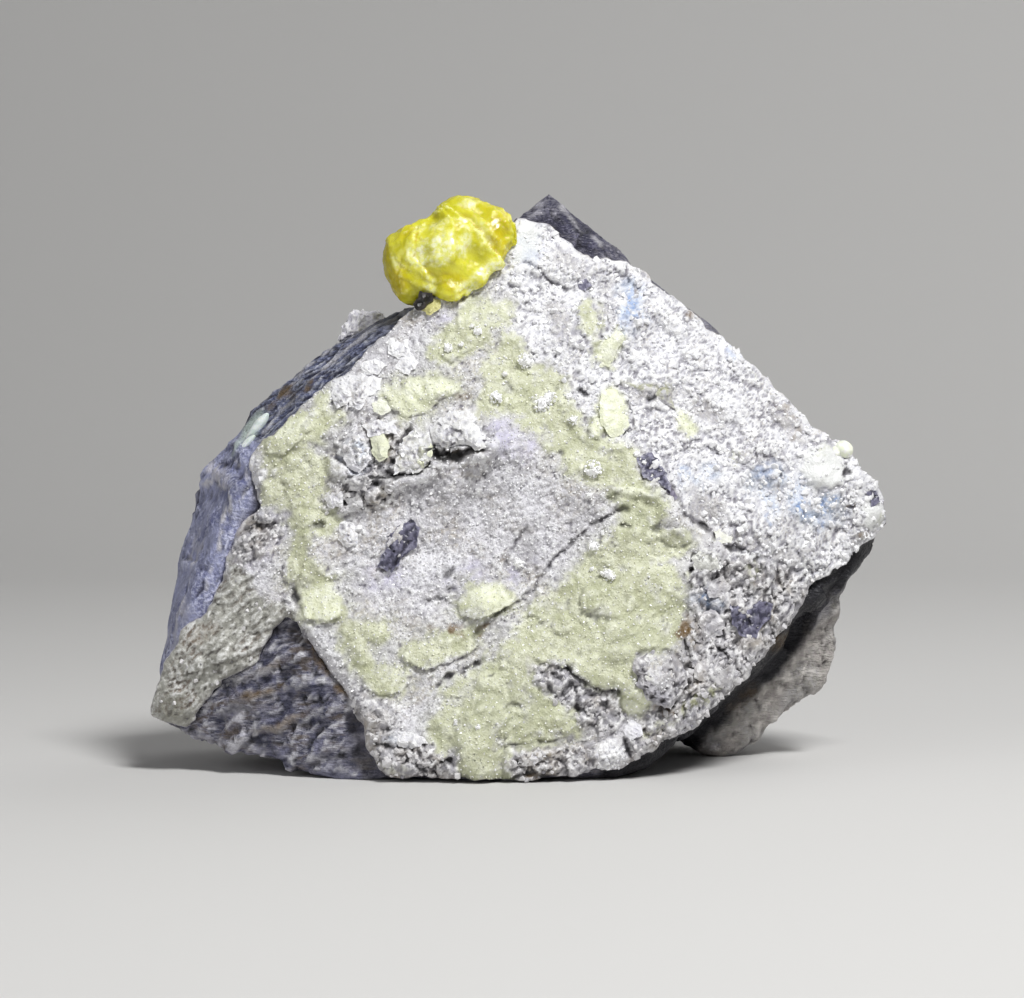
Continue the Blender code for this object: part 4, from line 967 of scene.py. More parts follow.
def zone(places, outlines, softness=0.35, fray=0.0):
    """1 inside any of the outlines, 0 outside; the border is soft, and frayed by a distance in mm."""
    found = np.zeros(len(places))
    fray = np.broadcast_to(fray, found.shape)
    margin = softness + np.abs(fray).max()
    for corners in outlines.values():
        index = near(places, corners, margin / MM_PER_PIXEL)
        distance = outline_distance(places[index], corners) + fray[index]
        found[index] = np.maximum(found[index], smooth_rise(distance, -softness, softness))
    return found


def oval(places, u, v, half_width, half_height, turn):
    """Distance from an oval's centre, 1 on its rim."""
    angle = math.radians(turn)
    right, down = places[:, 0] - u, places[:, 1] - v
    along = right * math.cos(angle) + down * math.sin(angle)
    across = down * math.cos(angle) - right * math.sin(angle)
    return np.hypot(along / half_width, across / half_height)


def spot(places, place, core=0.45, rim=1.25):
    """1 in the core of an oval, 0 past its rim, both as shares of its size."""
    return 1.0 - smooth_rise(oval(places, *place), core, rim)


def tint(places, ovals):
    """The strongest of the soft ovals at each place."""
    found = np.zeros(len(places))
    for *place, strength in ovals.values():
        found = np.maximum(found, strength * spot(places, place))
    return found


# ---------------------------------------------------------------- meshes


def make_object(name, mesh):
    made = bpy.data.objects.new(name, mesh)
    bpy.context.scene.collection.objects.link(made)
    return made


def object_from(name, bm):
    """An object from a bmesh, which is freed."""
    mesh = bpy.data.meshes.new(name)
    bm.to_mesh(mesh)
    bm.free()
    return make_object(name, mesh)


def mesh_from(name, points, faces):
    """An object from points in millimetres and faces."""
    mesh = bpy.data.meshes.new(name)
    mesh.from_pydata((np.asarray(points) * MM).tolist(), [], [tuple(map(int, face)) for face in faces])
    mesh.validate()
    return make_object(name, mesh)


def read(items, name, width=1):
    """A property of each of a mesh's items, as an array with that many columns."""
    found = np.empty(len(items) * width, np.float32)
    items.foreach_get(name, found)
    return found.reshape(-1, width)


def points_of(obj):
    """The object's vertices in millimetres."""
    return read(obj.data.vertices, "co", 3).astype(float) / MM


def normals_of(obj):
    return read(obj.data.vertex_normals, "vector", 3).astype(float)


def set_points(obj, points):
    obj.data.vertices.foreach_set("co", (points * MM).astype(np.float32).ravel())
    obj.data.update()


def store(obj, name, values):
    """Keep a number for each vertex, for materials and scattering to read."""
    attribute = obj.data.attributes.new(name, "FLOAT", "POINT")
    attribute.data.foreach_set("value", np.clip(values, 0.0, 1.0).astype(np.float32))


def relaxed(obj, values, steps):
    """The values after each vertex has taken its neighbours' mean, that many times."""
    edges = np.empty(len(obj.data.edges) * 2, np.int32)
    obj.data.edges.foreach_get("vertices", edges)
    edges = edges.reshape(-1, 2)
    count = len(obj.data.vertices)
    shares = np.bincount(edges.ravel(), minlength=count)
    for _ in range(steps):
        total = np.bincount(edges[:, 0], values[edges[:, 1]], count)
        total += np.bincount(edges[:, 1], values[edges[:, 0]], count)
        values = 0.5 * values + 0.5 * total / np.maximum(shares, 1)
    return values


def store_shading_masks(obj, relief, steps):
    """Keep how deep in a crevice and how high on a crest each vertex lies: the masks of painted shade and
    painted highlights.
    """
    above = relief - relaxed(obj, relief, steps)
    store(obj, "crevice", smooth_rise(-above, 0.0, CREVICE_RELIEF))
    store(obj, "crest", smooth_rise(above, 0.0, CREST_RELIEF))


def evaluated(obj):
    """A new mesh, as the object's modifiers make it."""
    bpy.context.view_layer.update()
    graph = bpy.context.evaluated_depsgraph_get()
    return bpy.data.meshes.new_from_object(obj.evaluated_get(graph))


def applied(obj):
    """Replace the object's mesh by what its modifiers make of it."""
    mesh = evaluated(obj)
    obj.modifiers.clear()
    obj.data = mesh
    return obj


def facing_out(obj):
    """Turn every face of a closed mesh outwards."""
    bm = bmesh.new()
    bm.from_mesh(obj.data)
    bmesh.ops.recalc_face_normals(bm, faces=bm.faces[:])
    bm.to_mesh(obj.data)
    bm.free()


def welded_copy(nodes, name, shifts=None):
    """One object from welded copies of the frame's nodes; a node's copies stand at its shifts, in mm."""
    bm = bmesh.new()
    for node_name in nodes:
        for shift in (shifts or {}).get(node_name, [(0.0, 0.0, 0.0)]):
            part = bmesh.new()
            part.from_mesh(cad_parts[node_name].data)
            bmesh.ops.remove_doubles(part, verts=part.verts[:], dist=1e-7)
            bmesh.ops.translate(part, verts=part.verts[:], vec=Vector(shift) * MM)
            mesh = bpy.data.meshes.new("part")
            part.to_mesh(mesh)
            part.free()
            bm.from_mesh(mesh)
            bpy.data.meshes.remove(mesh)
    return object_from(name, bm)


def voxel_remesh(obj, voxel):
    """Make the object's solids one even mesh, with cells of that size in millimetres."""
    remesh = obj.modifiers.new("Remesh", "REMESH")
    remesh.mode = "VOXEL"
    remesh.voxel_size = voxel * MM


def shells(bm):
    """The sets of vertices that hang together, the smallest first."""
    found = []
    waiting = set(bm.verts)
    while waiting:
        shell, edge = set(), [waiting.pop()]
        while edge:
            vertex = edge.pop()
            shell.add(vertex)
            for link in vertex.link_edges:
                other = link.other_vert(vertex)
                if other in waiting:
                    waiting.discard(other)
                    edge.append(other)
        found.append(shell)
    return sorted(found, key=len)


def remeshed(obj, voxel, smoothing_steps):
    """The object's solid as an even mesh, smoothed; only its largest shell is kept."""
    voxel_remesh(obj, voxel)
    smooth = obj.modifiers.new("Smooth", "SMOOTH")
    smooth.iterations = smoothing_steps
    smooth.factor = 0.5
    applied(obj)
    bm = bmesh.new()
    bm.from_mesh(obj.data)
    small = [vertex for shell in shells(bm)[:-1] for vertex in shell]
    bmesh.ops.delete(bm, geom=small, context="VERTS")
    bm.to_mesh(obj.data)
    bm.free()
    return obj


def closed_up(obj, voxel, reach):
    """Fill the narrow gaps of a solid: swell it, remake it, and shrink it back."""
    for distance in (reach, -reach):
        voxel_remesh(obj, voxel)
        displace = obj.modifiers.new("Displace", "DISPLACE")
        displace.mid_level = 0.0
        displace.strength = distance * MM
    return applied(obj)


def box_of(node):
    """The low and the high corner of a CAD node's box, in millimetres."""
    return [np.array(corner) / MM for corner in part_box(node)]


def kept_in_box(points):
    """The points, none outside the specimen's box."""
    return np.clip(points, BOX_LOW, BOX_HIGH)


def filled_outline(ring, inner):
    """Triangles between a ring of points and the points inside it, all in x and z."""
    edges = [(i, (i + 1) % len(ring)) for i in range(len(ring))]
    flat = [Vector(point) for point in np.concatenate([ring, inner]).tolist()]
    result = geometry.delaunay_2d_cdt(flat, edges, [], 1, 1e-6)
    source = [origin[0] if origin else None for origin in result[3]]
    faces = [[source[i] for i in face] for face in result[2]]
    return np.array([face for face in faces if None not in face and len(set(face)) == 3])


def finished(obj, material, slot, *replaced):
    """Give a piece its finish, and tie it to the frame."""
    obj.data.materials.clear()
    obj.data.materials.append(material)
    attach(obj, "root")
    if replaced:
        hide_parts(*replaced)


# ---------------------------------------------------------------- the crust


def flooded(mask):
    """The largest patch of true cells, joined side to side."""
    waiting = {tuple(cell) for cell in np.argwhere(mask)}
    largest = set()
    while waiting:
        patch, front = set(), [waiting.pop()]
        while front:
            row, column = front.pop()
            patch.add((row, column))
            for beside in ((row + 1, column), (row - 1, column), (row, column + 1), (row, column - 1)):
                if beside in waiting:
                    waiting.discard(beside)
                    front.append(beside)
        largest = max(largest, patch, key=len)
    found = np.zeros_like(mask)
    found[tuple(np.array(sorted(largest)).T)] = True
    return found


def one_clean_patch(squares):
    """The squares as one patch with no holes and no two squares that meet only at a corner."""
    squares = flooded(squares)
    squares = ~flooded(~squares)
    while True:
        a, b, c, d = squares[:-1, :-1], squares[:-1, 1:], squares[1:, :-1], squares[1:, 1:]
        pinched = (a & d & ~b & ~c) | (b & c & ~a & ~d)
        if not pinched.any():
            return squares
        for block in (a, b, c, d):
            block |= pinched


def crust_sheet():
    """The frame's crust seen from the front, as grids: x, z, depth, cover (0.5 on its edge) and weight."""
    low, high = box_of("drusy_crust")
    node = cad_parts["drusy_crust"].data
    tree = BVHTree.FromPolygons([v.co for v in node.vertices], [p.vertices for p in node.polygons])
    xs = np.arange(low[0] - CRUST_MARGIN, high[0] + CRUST_MARGIN, CRUST_STEP)
    zs = np.arange(low[2] - CRUST_MARGIN, high[2] + CRUST_MARGIN, CRUST_STEP)
    toward = Vector((0.0, 1.0, 0.0))
    depth = np.zeros((len(zs), len(xs)))
    seen = np.zeros_like(depth)
    for row, z in enumerate(zs):
        for column, x in enumerate(xs):
            place = tree.ray_cast(Vector((x, CAST_FROM, z)) * MM, toward)[0]
            if place is not None:
                depth[row, column] = place.y / MM
                seen[row, column] = 1.0
    reaches = [reach / CRUST_STEP for reach in (EDGE_SMOOTHING, BASE_SMOOTHING, WIDE_SMOOTHING)]
    cover, weight, wide_weight = [blurred(seen, reach) for reach in reaches]
    filled, wide = [blurred(depth * seen, reach) for reach in reaches[1:]]
    trust = smooth_rise(weight, 0.02, 0.2)
    base = trust * filled / np.maximum(weight, 1e-3) + (1.0 - trust) * wide / np.maximum(wide_weight, 1e-6)
    x, z = np.meshgrid(xs, zs)
    return {"x": x, "z": z, "depth": base, "cover": cover, "weight": weight}


def cell_of(sheet, flat):
    """The (rows, columns) of the crust's sheet at places in x and z."""
    rows, columns = sheet["x"].shape
    column = ((flat[:, 0] - sheet["x"][0, 0]) / CRUST_STEP).round().astype(int)
    row = ((flat[:, 1] - sheet["z"][0, 0]) / CRUST_STEP).round().astype(int)
    return np.clip(row, 0, rows - 1), np.clip(column, 0, columns - 1)


def front_zones(places, points):
    """(how strongly each kind of surface shows at each place, the places with firmer borders)."""
    broad, narrow = wander(points, 2.4, 31, 32), wander(points, 0.8, 33, 34)
    loose = places + 7.0 * broad + 5.0 * narrow
    firm = places + 2.0 * broad + 2.0 * narrow
    fray = 1.1 * layered_ripples(points, 1.3, 3, 35)
    chips = {name: outline for name, (outline, _, _, kinds) in FLAKES.items() if "slate" in kinds}
    found = {
        "green": zone(loose, GREEN_ZONES, 0.7, fray),
        "pale_green": zone(firm, PALE_GREEN_ZONES, 0.8, 0.5 * fray),
        "white": zone(loose, WHITE_ZONES, 0.7, fray),
        "milky": zone(loose, MILKY_ZONES, 0.6, fray),
        "stone": zone(loose, GREY_STONE_ZONES, 0.7, fray),
        "olive_stone": zone(loose, OLIVE_STONE_ZONES, 0.8, fray),
        "lilac": 0.8 * zone(loose, LILAC_ZONES, 1.2, fray),
        "wash": 0.8 * zone(loose, GREEN_ZONES, 3.0, 1.5 * fray),
        "blue": tint(loose, BLUE_TINTS),
        "rust": tint(loose, RUST_TINTS),
        "olive": tint(loose, OLIVE_TINTS),
        "haze": tint(loose, BLUE_HAZE),
        "dull": tint(loose, GREEN_SHADE),
        # Painted shade on the green druse, from the table of darker green.
        "bright": tint(loose, BRIGHT_TINTS),
        "smudge": tint(loose, GREY_PATCHES),
        "shade": shade_of(places + 3.0 * broad + 4.0 * narrow, points),
        "under_chip": zone(places, chips, 0.6),
    }
    bare = smooth_rise(layered_ripples(points, 2.6, 3, 36), 0.12, 0.34)
    found["green"] = np.maximum(found["green"] * (1.0 - 0.75 * bare), found["pale_green"])
    for name in ("white", "stone"):
        found[name] = found[name] * (1.0 - found["green"])
    return found, firm


def crack_strength(points):
    """Cracks come and go along their length."""
    return 0.35 + 0.65 * smooth_rise(ripples(points, 1.5, 37), -0.4, 0.1)


def shade_of(places, points):
    """Painted shade of the holes and cracks."""
    dark = tint(places, {name: (*place, darkness) for name, (*place, _, darkness) in HOLES.items()})
    broken = crack_strength(points)
    for path, _, half_width, darkness in CRACKS.values():
        index, strength = soft_line(
            places, path, 0.2 * half_width, 1.2 * half_width, 4 * half_width / MM_PER_PIXEL)
        dark[index] = np.maximum(dark[index], darkness * broken[index] * strength)
    return dark


def plate_relief(places):
    """How far the named plates stand out, in millimetres. Each is highest on its free side."""
    out = np.zeros(len(places))
    for outline, height, rise in PLATES.values():
        corners = np.array(outline, float)
        index = near(places, corners, 5)
        direction = np.array(rise) / max(np.hypot(*rise), 1.0)
        reach = np.abs((corners - corners.mean(0)) @ direction).max()
        along = (places[index] - corners.mean(0)) @ direction / reach
        distance = outline_distance(places[index], corners)
        raised = smooth_rise(distance, -0.12, 0.35) * (0.8 + 0.2 * smooth_rise(distance, 0.0, 1.5))
        out[index] = np.maximum(out[index], height * raised * (0.62 + 0.38 * np.clip(along, -1.0, 1.0)))
    return out


def named_relief(places, points):
    """How far the named lumps, steps, cracks and holes stand out, in millimetres."""
    out = stepped(places, STEPS)
    broken = crack_strength(points)
    for *place, height, squareness in LUMPS.values():
        out += height * np.clip(1.0 - oval(places, *place) ** squareness, 0.0, 1.0) ** 0.6
    for path, depth, half_width, _ in CRACKS.values():
        index, strength = soft_line(
            places, path, 0.1 * half_width, 1.5 * half_width, 4 * half_width / MM_PER_PIXEL)
        out[index] -= depth * broken[index] * strength
    for *place, depth, _ in HOLES.values():
        out -= depth * spot(places, place, core=0.4, rim=1.4)
    return out


def fine_relief(points, zones):
    """The grain of each kind of surface, in millimetres outwards."""
    white, green, calm = zones["white"], zones["green"], zones["milky"]
    stone, wing = zones["stone"], zones["olive_stone"]
    grey = np.clip(1.0 - white - green - stone - wing, 0.0, 1.0)
    warp = 1.2 * wander(points, 3.0, 38, 39, 49)
    harsh = 0.3 + 0.7 * smooth_rise(ripples(points, 5.0, 40), -0.25, 0.2)
    blocky = smooth_rise(ripples(points, 4.0, 52), -0.1, 0.25)
    crumble = blocks(points + warp, 3.6, 0.9, 0.26, 41) * blocky
    crumble += 0.5 * blocks(points + warp, 1.6, 0.6, 0.35, 42)
    popcorn = beads(points + 0.5 * warp, 1.7, 0.55, 53) + beads(points, 0.85, 0.32, 54)
    sugar = blocks(points, 0.6, 0.22, 0.35, 43)
    folds = wrinkles(points + warp, 2.4, 4, 44)
    pillows = beads(points + 0.5 * warp, 3.6, 0.6, 45) + beads(points, 1.5, 0.3, 46)
    swell = layered_ripples(points, 4.0, 3, 47)
    streaked = layered_ripples((points + warp) @ turned_by(38) * [0.35, 1.0, 2.2], 1.6, 3, 51)
    rugged = (0.6 * crumble + 0.75 * popcorn + 0.35 * folds) * harsh + 0.3 * swell + 0.95 * sugar
    out = white * rugged * (1.0 - 0.65 * calm)
    out += green * (pillows + 0.3 * swell + 0.2 * sugar)
    out += stone * (0.9 * crumble + folds + 0.3 * popcorn + 0.5 * streaked + 0.5 * sugar)
    out += wing * (0.4 * crumble + 0.25 * folds + 0.7 * streaked + 0.8 * sugar)
    grainy = 0.45 * swell + 0.3 * wrinkles(points, 1.2, 3, 48) + 0.9 * sugar
    return out + grey * grainy * (1.0 - 0.6 * calm)


def ordered_border(faces):
    """The vertices round a patch of faces, in order."""
    following = {}
    for face in faces:
        for start, end in zip(face, np.roll(face, -1)):
            following[(int(start), int(end))] = True
    border = {start: end for start, end in following if (end, start) not in following}
    loop = [next(iter(border))]
    while border[loop[-1]] != loop[0]:
        loop.append(border[loop[-1]])
    return loop


def crust_front(sheet):
    """The crust's front without relief: (points, faces, the points' numbers in the grid, the border)."""
    shape = sheet["x"].shape
    cover = sheet["cover"]
    grid = np.stack([sheet[name].ravel() for name in ("x", "depth", "z")], 1)
    ragged = EDGE_RAGGEDNESS * layered_ripples(grid, 1.6, 2, 51).reshape(shape)
    level = cover + ragged * smooth_rise(cover, 0.0, 0.3) * smooth_rise(-cover, -1.0, -0.7)
    middle = (level[:-1, :-1] + level[:-1, 1:] + level[1:, :-1] + level[1:, 1:]) / 4
    rows, columns = np.nonzero(one_clean_patch(middle > 0.5))
    corner = rows * shape[1] + columns
    faces = np.stack([corner, corner + 1, corner + shape[1] + 1, corner + shape[1]], 1)
    used, faces = np.unique(faces, return_inverse=True)
    faces = faces.reshape(-1, 4)

    # Vertices on the border slide to where the crust ends.
    slope_z, slope_x = [slope.ravel()[used] for slope in np.gradient(level, CRUST_STEP)]
    steepness = np.hypot(slope_x, slope_z)
    slide = np.clip((0.5 - level.ravel()[used]) / np.maximum(steepness, 0.2), -CRUST_STEP, CRUST_STEP)
    slide = (slide / np.maximum(steepness, 1e-6))[:, None] * np.stack([slope_x, slope_z], 1)
    border = np.array(ordered_border(faces))
    points = grid[used]
    points[border[:, None], [0, 2]] += slide[border]
    return points, faces, used, border


def turned_back(front, flat, border):
    """The crust's edge, turned back: (rings of points, their faces, the last ring's numbers)."""
    ring = flat[border][:, [0, 2]]
    tangent = np.roll(ring, -1, axis=0) - np.roll(ring, 1, axis=0)
    aside = np.stack([tangent[:, 1], -tangent[:, 0]], 1)
    aside /= np.maximum(np.linalg.norm(aside, axis=1), 1e-6)[:, None]
    rings, faces, inner = [], [], border
    outer = len(front) + np.arange(len(border))
    for push, back in SKIRT:
        turned = front[border]
        turned[:, [0, 2]] += push * aside
        turned[:, 1] += back
        rings.append(kept_in_box(turned))
        faces.append(np.stack([inner, outer, np.roll(outer, -1), np.roll(inner, -1)], 1))
        inner, outer = outer, outer + len(border)
    return rings, faces, inner


def buried_points(outline, sheet):
    """Points of a coarse sheet behind the crust, inside an outline in x and z."""
    spans = [np.arange(sheet[name].min(), sheet[name].max(), BACK_STEP) for name in ("x", "z")]
    flat = np.stack(np.meshgrid(*spans, indexing="ij"), -1).reshape(-1, 2)
    cell = cell_of(sheet, flat)
    gap = np.linalg.norm(flat[:, None] - outline, axis=2).min(1)
    points = np.stack([flat[:, 0], sheet["depth"][cell] + BACK_DEPTH, flat[:, 1]], 1)
    return points[(sheet["weight"][cell] > 0.98) & (gap > BACK_INSET)]


def crust_piece():
    """The crust's whole skin: front, rounded edge and buried back. Returns it with its sheet of depths."""
    sheet = crust_sheet()
    flat, faces, used, border = crust_front(sheet)
    zones, firm = front_zones(picture_place(flat), flat)
    weight = sheet["weight"].ravel()[used]
    plates = plate_relief(firm)
    grain = fine_relief(flat, zones) * (0.45 + 0.55 * smooth_rise(weight, 0.45, 0.95))
    outward = plates + named_relief(firm, flat) + grain
    front = flat.copy()
    front[:, 1] += EDGE_DROP * (1.0 - smooth_rise(weight, 0.4, 0.4 + EDGE_ROUNDING)) - outward
    front[:, 2] -= PLATE_LEAN * plates
    front = kept_in_box(front)

    rings, walls, last = turned_back(front, flat, border)
    outline = rings[-1][:, [0, 2]]
    inside = buried_points(outline, sheet)
    numbers = np.concatenate([last, last[-1] + 1 + np.arange(len(inside))])
    back = numbers[filled_outline(outline, inside[:, [0, 2]])]
    points = np.concatenate([front, *rings, kept_in_box(inside)])
    made = mesh_from("drusy_crust_face", points, [face for part in (faces, *walls, back) for face in part])
    facing_out(made)
    made.data.shade_smooth()

    hidden = np.zeros(len(points) - len(front))
    zones["front"] = smooth_rise(weight, 0.3, 0.6)
    for name, values in zones.items():
        store(made, name, np.append(values, hidden))
    store_shading_masks(made, np.append(outward, hidden), 10)
    sheet["depth"].flat[used] = front[:, 1]
    return made, sheet


# ---------------------------------------------------------------- chips and lumps on the crust


def on_the_crust(places, sheet):
    """The points of the crust seen at those places."""
    depth = np.full(len(places), MEAN_DEPTH)
    for _ in range(3):
        points = from_picture(places, depth)
        depth = sheet["depth"][cell_of(sheet, points[:, [0, 2]])]
    return points


def broken_ring(corners, step):
    """A closed outline in x and z as evenly spaced points, slightly ragged."""
    ring = []
    for start, end in zip(corners, np.roll(corners, -1, axis=0)):
        count = max(int(np.hypot(*(end - start)) / step), 1)
        ring += [start + (end - start) * i / count for i in range(count)]
    ring = np.array(ring)
    flat = np.stack([ring[:, 0], np.zeros(len(ring)), ring[:, 1]], 1)
    return ring + 0.35 * wander(flat, 0.7, 55, 56)


def flake(outline, height, rise, kinds, sheet, seed):
    """(points, faces, relief) of one closed chip standing on the crust."""
    feet = on_the_crust(np.array(outline, float), sheet)
    slope = np.linalg.lstsq(np.c_[feet[:, [0, 2]], np.ones(len(feet))], feet[:, 1], rcond=None)[0]
    slope = np.clip(slope[:2], -1.0, 1.0)
    middle = feet.mean(0)
    ring = broken_ring(feet[:, [0, 2]], FLAKE_STEP)
    spans = [np.arange(low, high, FLAKE_STEP) for low, high in zip(ring.min(0), ring.max(0))]
    grid = np.stack(np.meshgrid(*spans), -1).reshape(-1, 2)
    grid += 0.2 * FLAKE_STEP * np.random.default_rng(seed).normal(size=grid.shape)
    # outline_distance works in pixels and answers in millimetres
    border = outline_distance(grid / MM_PER_PIXEL, ring / MM_PER_PIXEL)
    inside = border > 0.6 * FLAKE_STEP
    border = np.concatenate([np.zeros(len(ring)), border[inside]])
    flat = np.concatenate([ring, grid[inside]])
    away = flat - middle[[0, 2]]

    direction = np.array([rise[0], -rise[1]]) / max(np.hypot(*rise), 1.0)
    along = away @ direction
    along /= max(np.abs(along).max(), 1e-6)
    shoulder = 0.75 if "slate" in kinds else 0.4
    stand = height * (0.62 + 0.38 * along) * (shoulder + (1.0 - shoulder) * smooth_rise(border, 0.0, 1.2))
    ground = middle[1] + away @ slope
    points = np.stack([flat[:, 0], ground, flat[:, 1]], 1)
    relief = flake_relief(points + 3.7 * seed, kinds) * (0.3 + 0.7 * smooth_rise(border, 0.0, 0.5))
    points[:, 1] -= stand + relief
    points[:, 2] -= FLAKE_LEAN * stand

    count = len(ring)
    inwards = ring.mean(0) - ring
    root = np.stack([ring[:, 0], ground[:count] + FLAKE_ROOT, ring[:, 1]], 1)
    root[:, [0, 2]] += FLAKE_UNDERCUT * inwards / np.linalg.norm(inwards, axis=1)[:, None]
    front = filled_outline(ring, grid[inside])
    back = filled_outline(root[:, [0, 2]], np.zeros((0, 2))) + len(points)
    here, there = np.arange(count), np.roll(np.arange(count), -1)
    walls = np.stack([here, here + len(points), there + len(points), there], 1)
    faces = [list(face) for part in (front, walls, back) for face in part]
    return np.concatenate([points, root]), faces, np.append(relief, np.full(count, FLAKE_ROOT_RELIEF))


def flake_relief(points, kinds):
    """The grain of a chip's face, in millimetres."""
    if "slate" in kinds:
        split = leaves(points, tilted_leaf(50, 0.6), 0.9, 0.35, 57)
        return 0.6 * blocks(points, 1.9, 0.5, 0.4, 58) + split
    shares = {name: kinds.get(name, 0.0) for name in ("white", "stone", "olive_stone", "milky")}
    shares["green"] = max(kinds.get("pale_green", 0.0), kinds.get("lemon", 0.0))
    shares["white"] *= 1.0 - shares["green"]
    zones = {name: np.full(len(points), share) for name, share in shares.items()}
    grain = (0.6 + 0.25 * shares["white"]) * fine_relief(points, zones)
    return grain + 0.45 * kinds.get("foil", 0.0) * wrinkles(points, 1.5, 3, 59)


def flake_piece(name, sheet, wanted):
    """One piece from all the chips whose make-up is wanted."""
    points, faces, relief, made_of = [], [], [], []
    for seed, (outline, height, rise, kinds) in enumerate(FLAKES.values()):
        if wanted(kinds):
            chip_points, chip_faces, chip_relief = flake(outline, height, rise, kinds, sheet, seed)
            faces += [[i + len(made_of) for i in face] for face in chip_faces]
            points.append(chip_points)
            relief.append(chip_relief)
            made_of += [kinds] * len(chip_points)
    made = mesh_from(name, kept_in_box(np.concatenate(points)), faces)
    facing_out(made)
    for kind in sorted({kind for kinds in made_of for kind in kinds}):
        store(made, kind, [kinds.get(kind, 0.0) for kinds in made_of])
    store_shading_masks(made, np.concatenate(relief), 6)
    return made


# ---------------------------------------------------------------- the rock


def rock_piece(sheet):
    """The slate: one even mesh of the frame's rock, set back behind the crust, with its fractures."""
    rock = welded_copy(["host_rock", "drusy_crust"], "slate_rock", {"drusy_crust": FILLER_SHIFTS})
    remeshed(rock, ROCK_VOXEL, ROCK_SMOOTHING_STEPS)
    points, normals = points_of(rock), normals_of(rock)
    places = picture_place(points)
    facing = smooth_rise(-normals[:, 1] + 0.65 * layered_ripples(points, 9.0, 5, 106), -0.75, 0.2)
    broad = wander(points, 2.5, 61, 62)
    loose = places + 5.0 * broad
    fray = 0.8 * layered_ripples(points, 1.6, 3, 63)
    zones = {name: zone(loose, {name: outline}, 0.7, fray) for name, outline in SLATE_ZONES.items()}
    zones["rust"] = tint(loose, SLATE_RUST)
    zones["pale"] = tint(loose, SLATE_PALE)
    zones["mint"] = tint(places + 2.0 * broad, SLATE_MINT)
    zones["dark"] = tint(loose, SLATE_DARK)
    zones["vein"] = veins(places + 3.0 * broad, points)
    zones = {name: values * facing for name, values in zones.items()}
    relief = rock_relief(points, zones) + facing * stepped(loose, SLATE_STEPS)
    set_points(rock, rock_points(points, normals, relief, sheet))
    store_shading_masks(rock, relief, 8)
    for name, values in zones.items():
        store(rock, name, values)
    rock.data.shade_smooth()
    return rock


def veins(places, points):
    """The pale seams, broken along their length."""
    found = np.zeros(len(places))
    broken = smooth_rise(ripples(points, 1.5, 64), -0.4, 0.1)
    for path, half_width, strength in SLATE_VEINS.values():
        index, seam = soft_line(places, path, half_width, 2.5 * half_width, margin=3)
        found[index] = np.maximum(found[index], strength * broken[index] * seam)
    return found


def rock_relief(points, zones):
    """How far the slate's fractures, leaves and crumbs stand out, in millimetres."""
    smooth = np.maximum(zones["strip"], zones["peak"])
    bevel, triangle, ledge = zones["bevel"], zones["triangle"], zones["rear_ledge"]
    rough = np.clip(1.0 - smooth - bevel - triangle - ledge, 0.0, 1.0)
    warp = 1.6 * wander(points, 4.0, 101, 102, 103)
    patchy = smooth_rise(ripples(points, 4.5, 104), -0.2, 0.25)
    worn = 0.25 + 0.75 * smooth_rise(ripples(points, 9.0, 105), -0.15, 0.25)
    fractures = facets(points, 8.0, 0.6, 0.2, 72) + facets(points * [0.6, 1.0, 1.6], 3.6, 0.5, 0.2, 73, 0.2)
    split = leaves(points + warp, tilted_leaf(30, 0.25), 2.4, 0.6, 71)
    split += leaves(points + warp, tilted_leaf(26, -0.1), 1.0, 0.3, 70) * patchy
    broken = 0.5 * fractures + 0.85 * split + 0.16 * wrinkles(points, 1.6, 3, 74)
    out = rough * (0.8 * facets(points + 0.6 * warp, 15.0, 0.7, 0.2, 59) + worn * broken)
    steep = leaves(points + warp, tilted_leaf(30, 0.5), 2.1, 0.7, 75) * (0.3 + 0.7 * patchy)
    steep += leaves(points + 0.5 * warp, tilted_leaf(24, 0.4), 0.8, 0.42, 76) * (1.0 - 0.6 * patchy)
    steep += 0.5 * blocks(points + warp, 5.0, 0.9, 0.25, 77) + 0.3 * wrinkles(points, 2.2, 4, 78)
    out += triangle * steep
    scales = leaves(points + 0.6 * warp, tilted_leaf(43, 0.3), 1.2, 0.4, 79)
    out += bevel * (scales + 0.3 * layered_ripples(points, 2.5, 3, 69))
    crumbs = blocks(points + warp, 4.2, 0.7, 0.2, 68) + blocks(points, 1.5, 0.25, 0.2, 67)
    out += ledge * (0.6 * crumbs + 0.25 * wrinkles(points + warp, 2.4, 3, 66))
    scuffed = 0.25 * layered_ripples(points @ turned_by(65) * [0.4, 1.0, 1.6], 2.2, 4, 60)
    out += smooth * (facets(points + warp, 9.0, 0.4, 0.06, 65) + scuffed)
    out -= 0.4 * zones["dark"]
    out += 0.2 * np.maximum(zones["pale"], zones["vein"]) * (1.0 - smooth)
    return out * smooth_rise(points[:, 2], 0.15, 1.5)


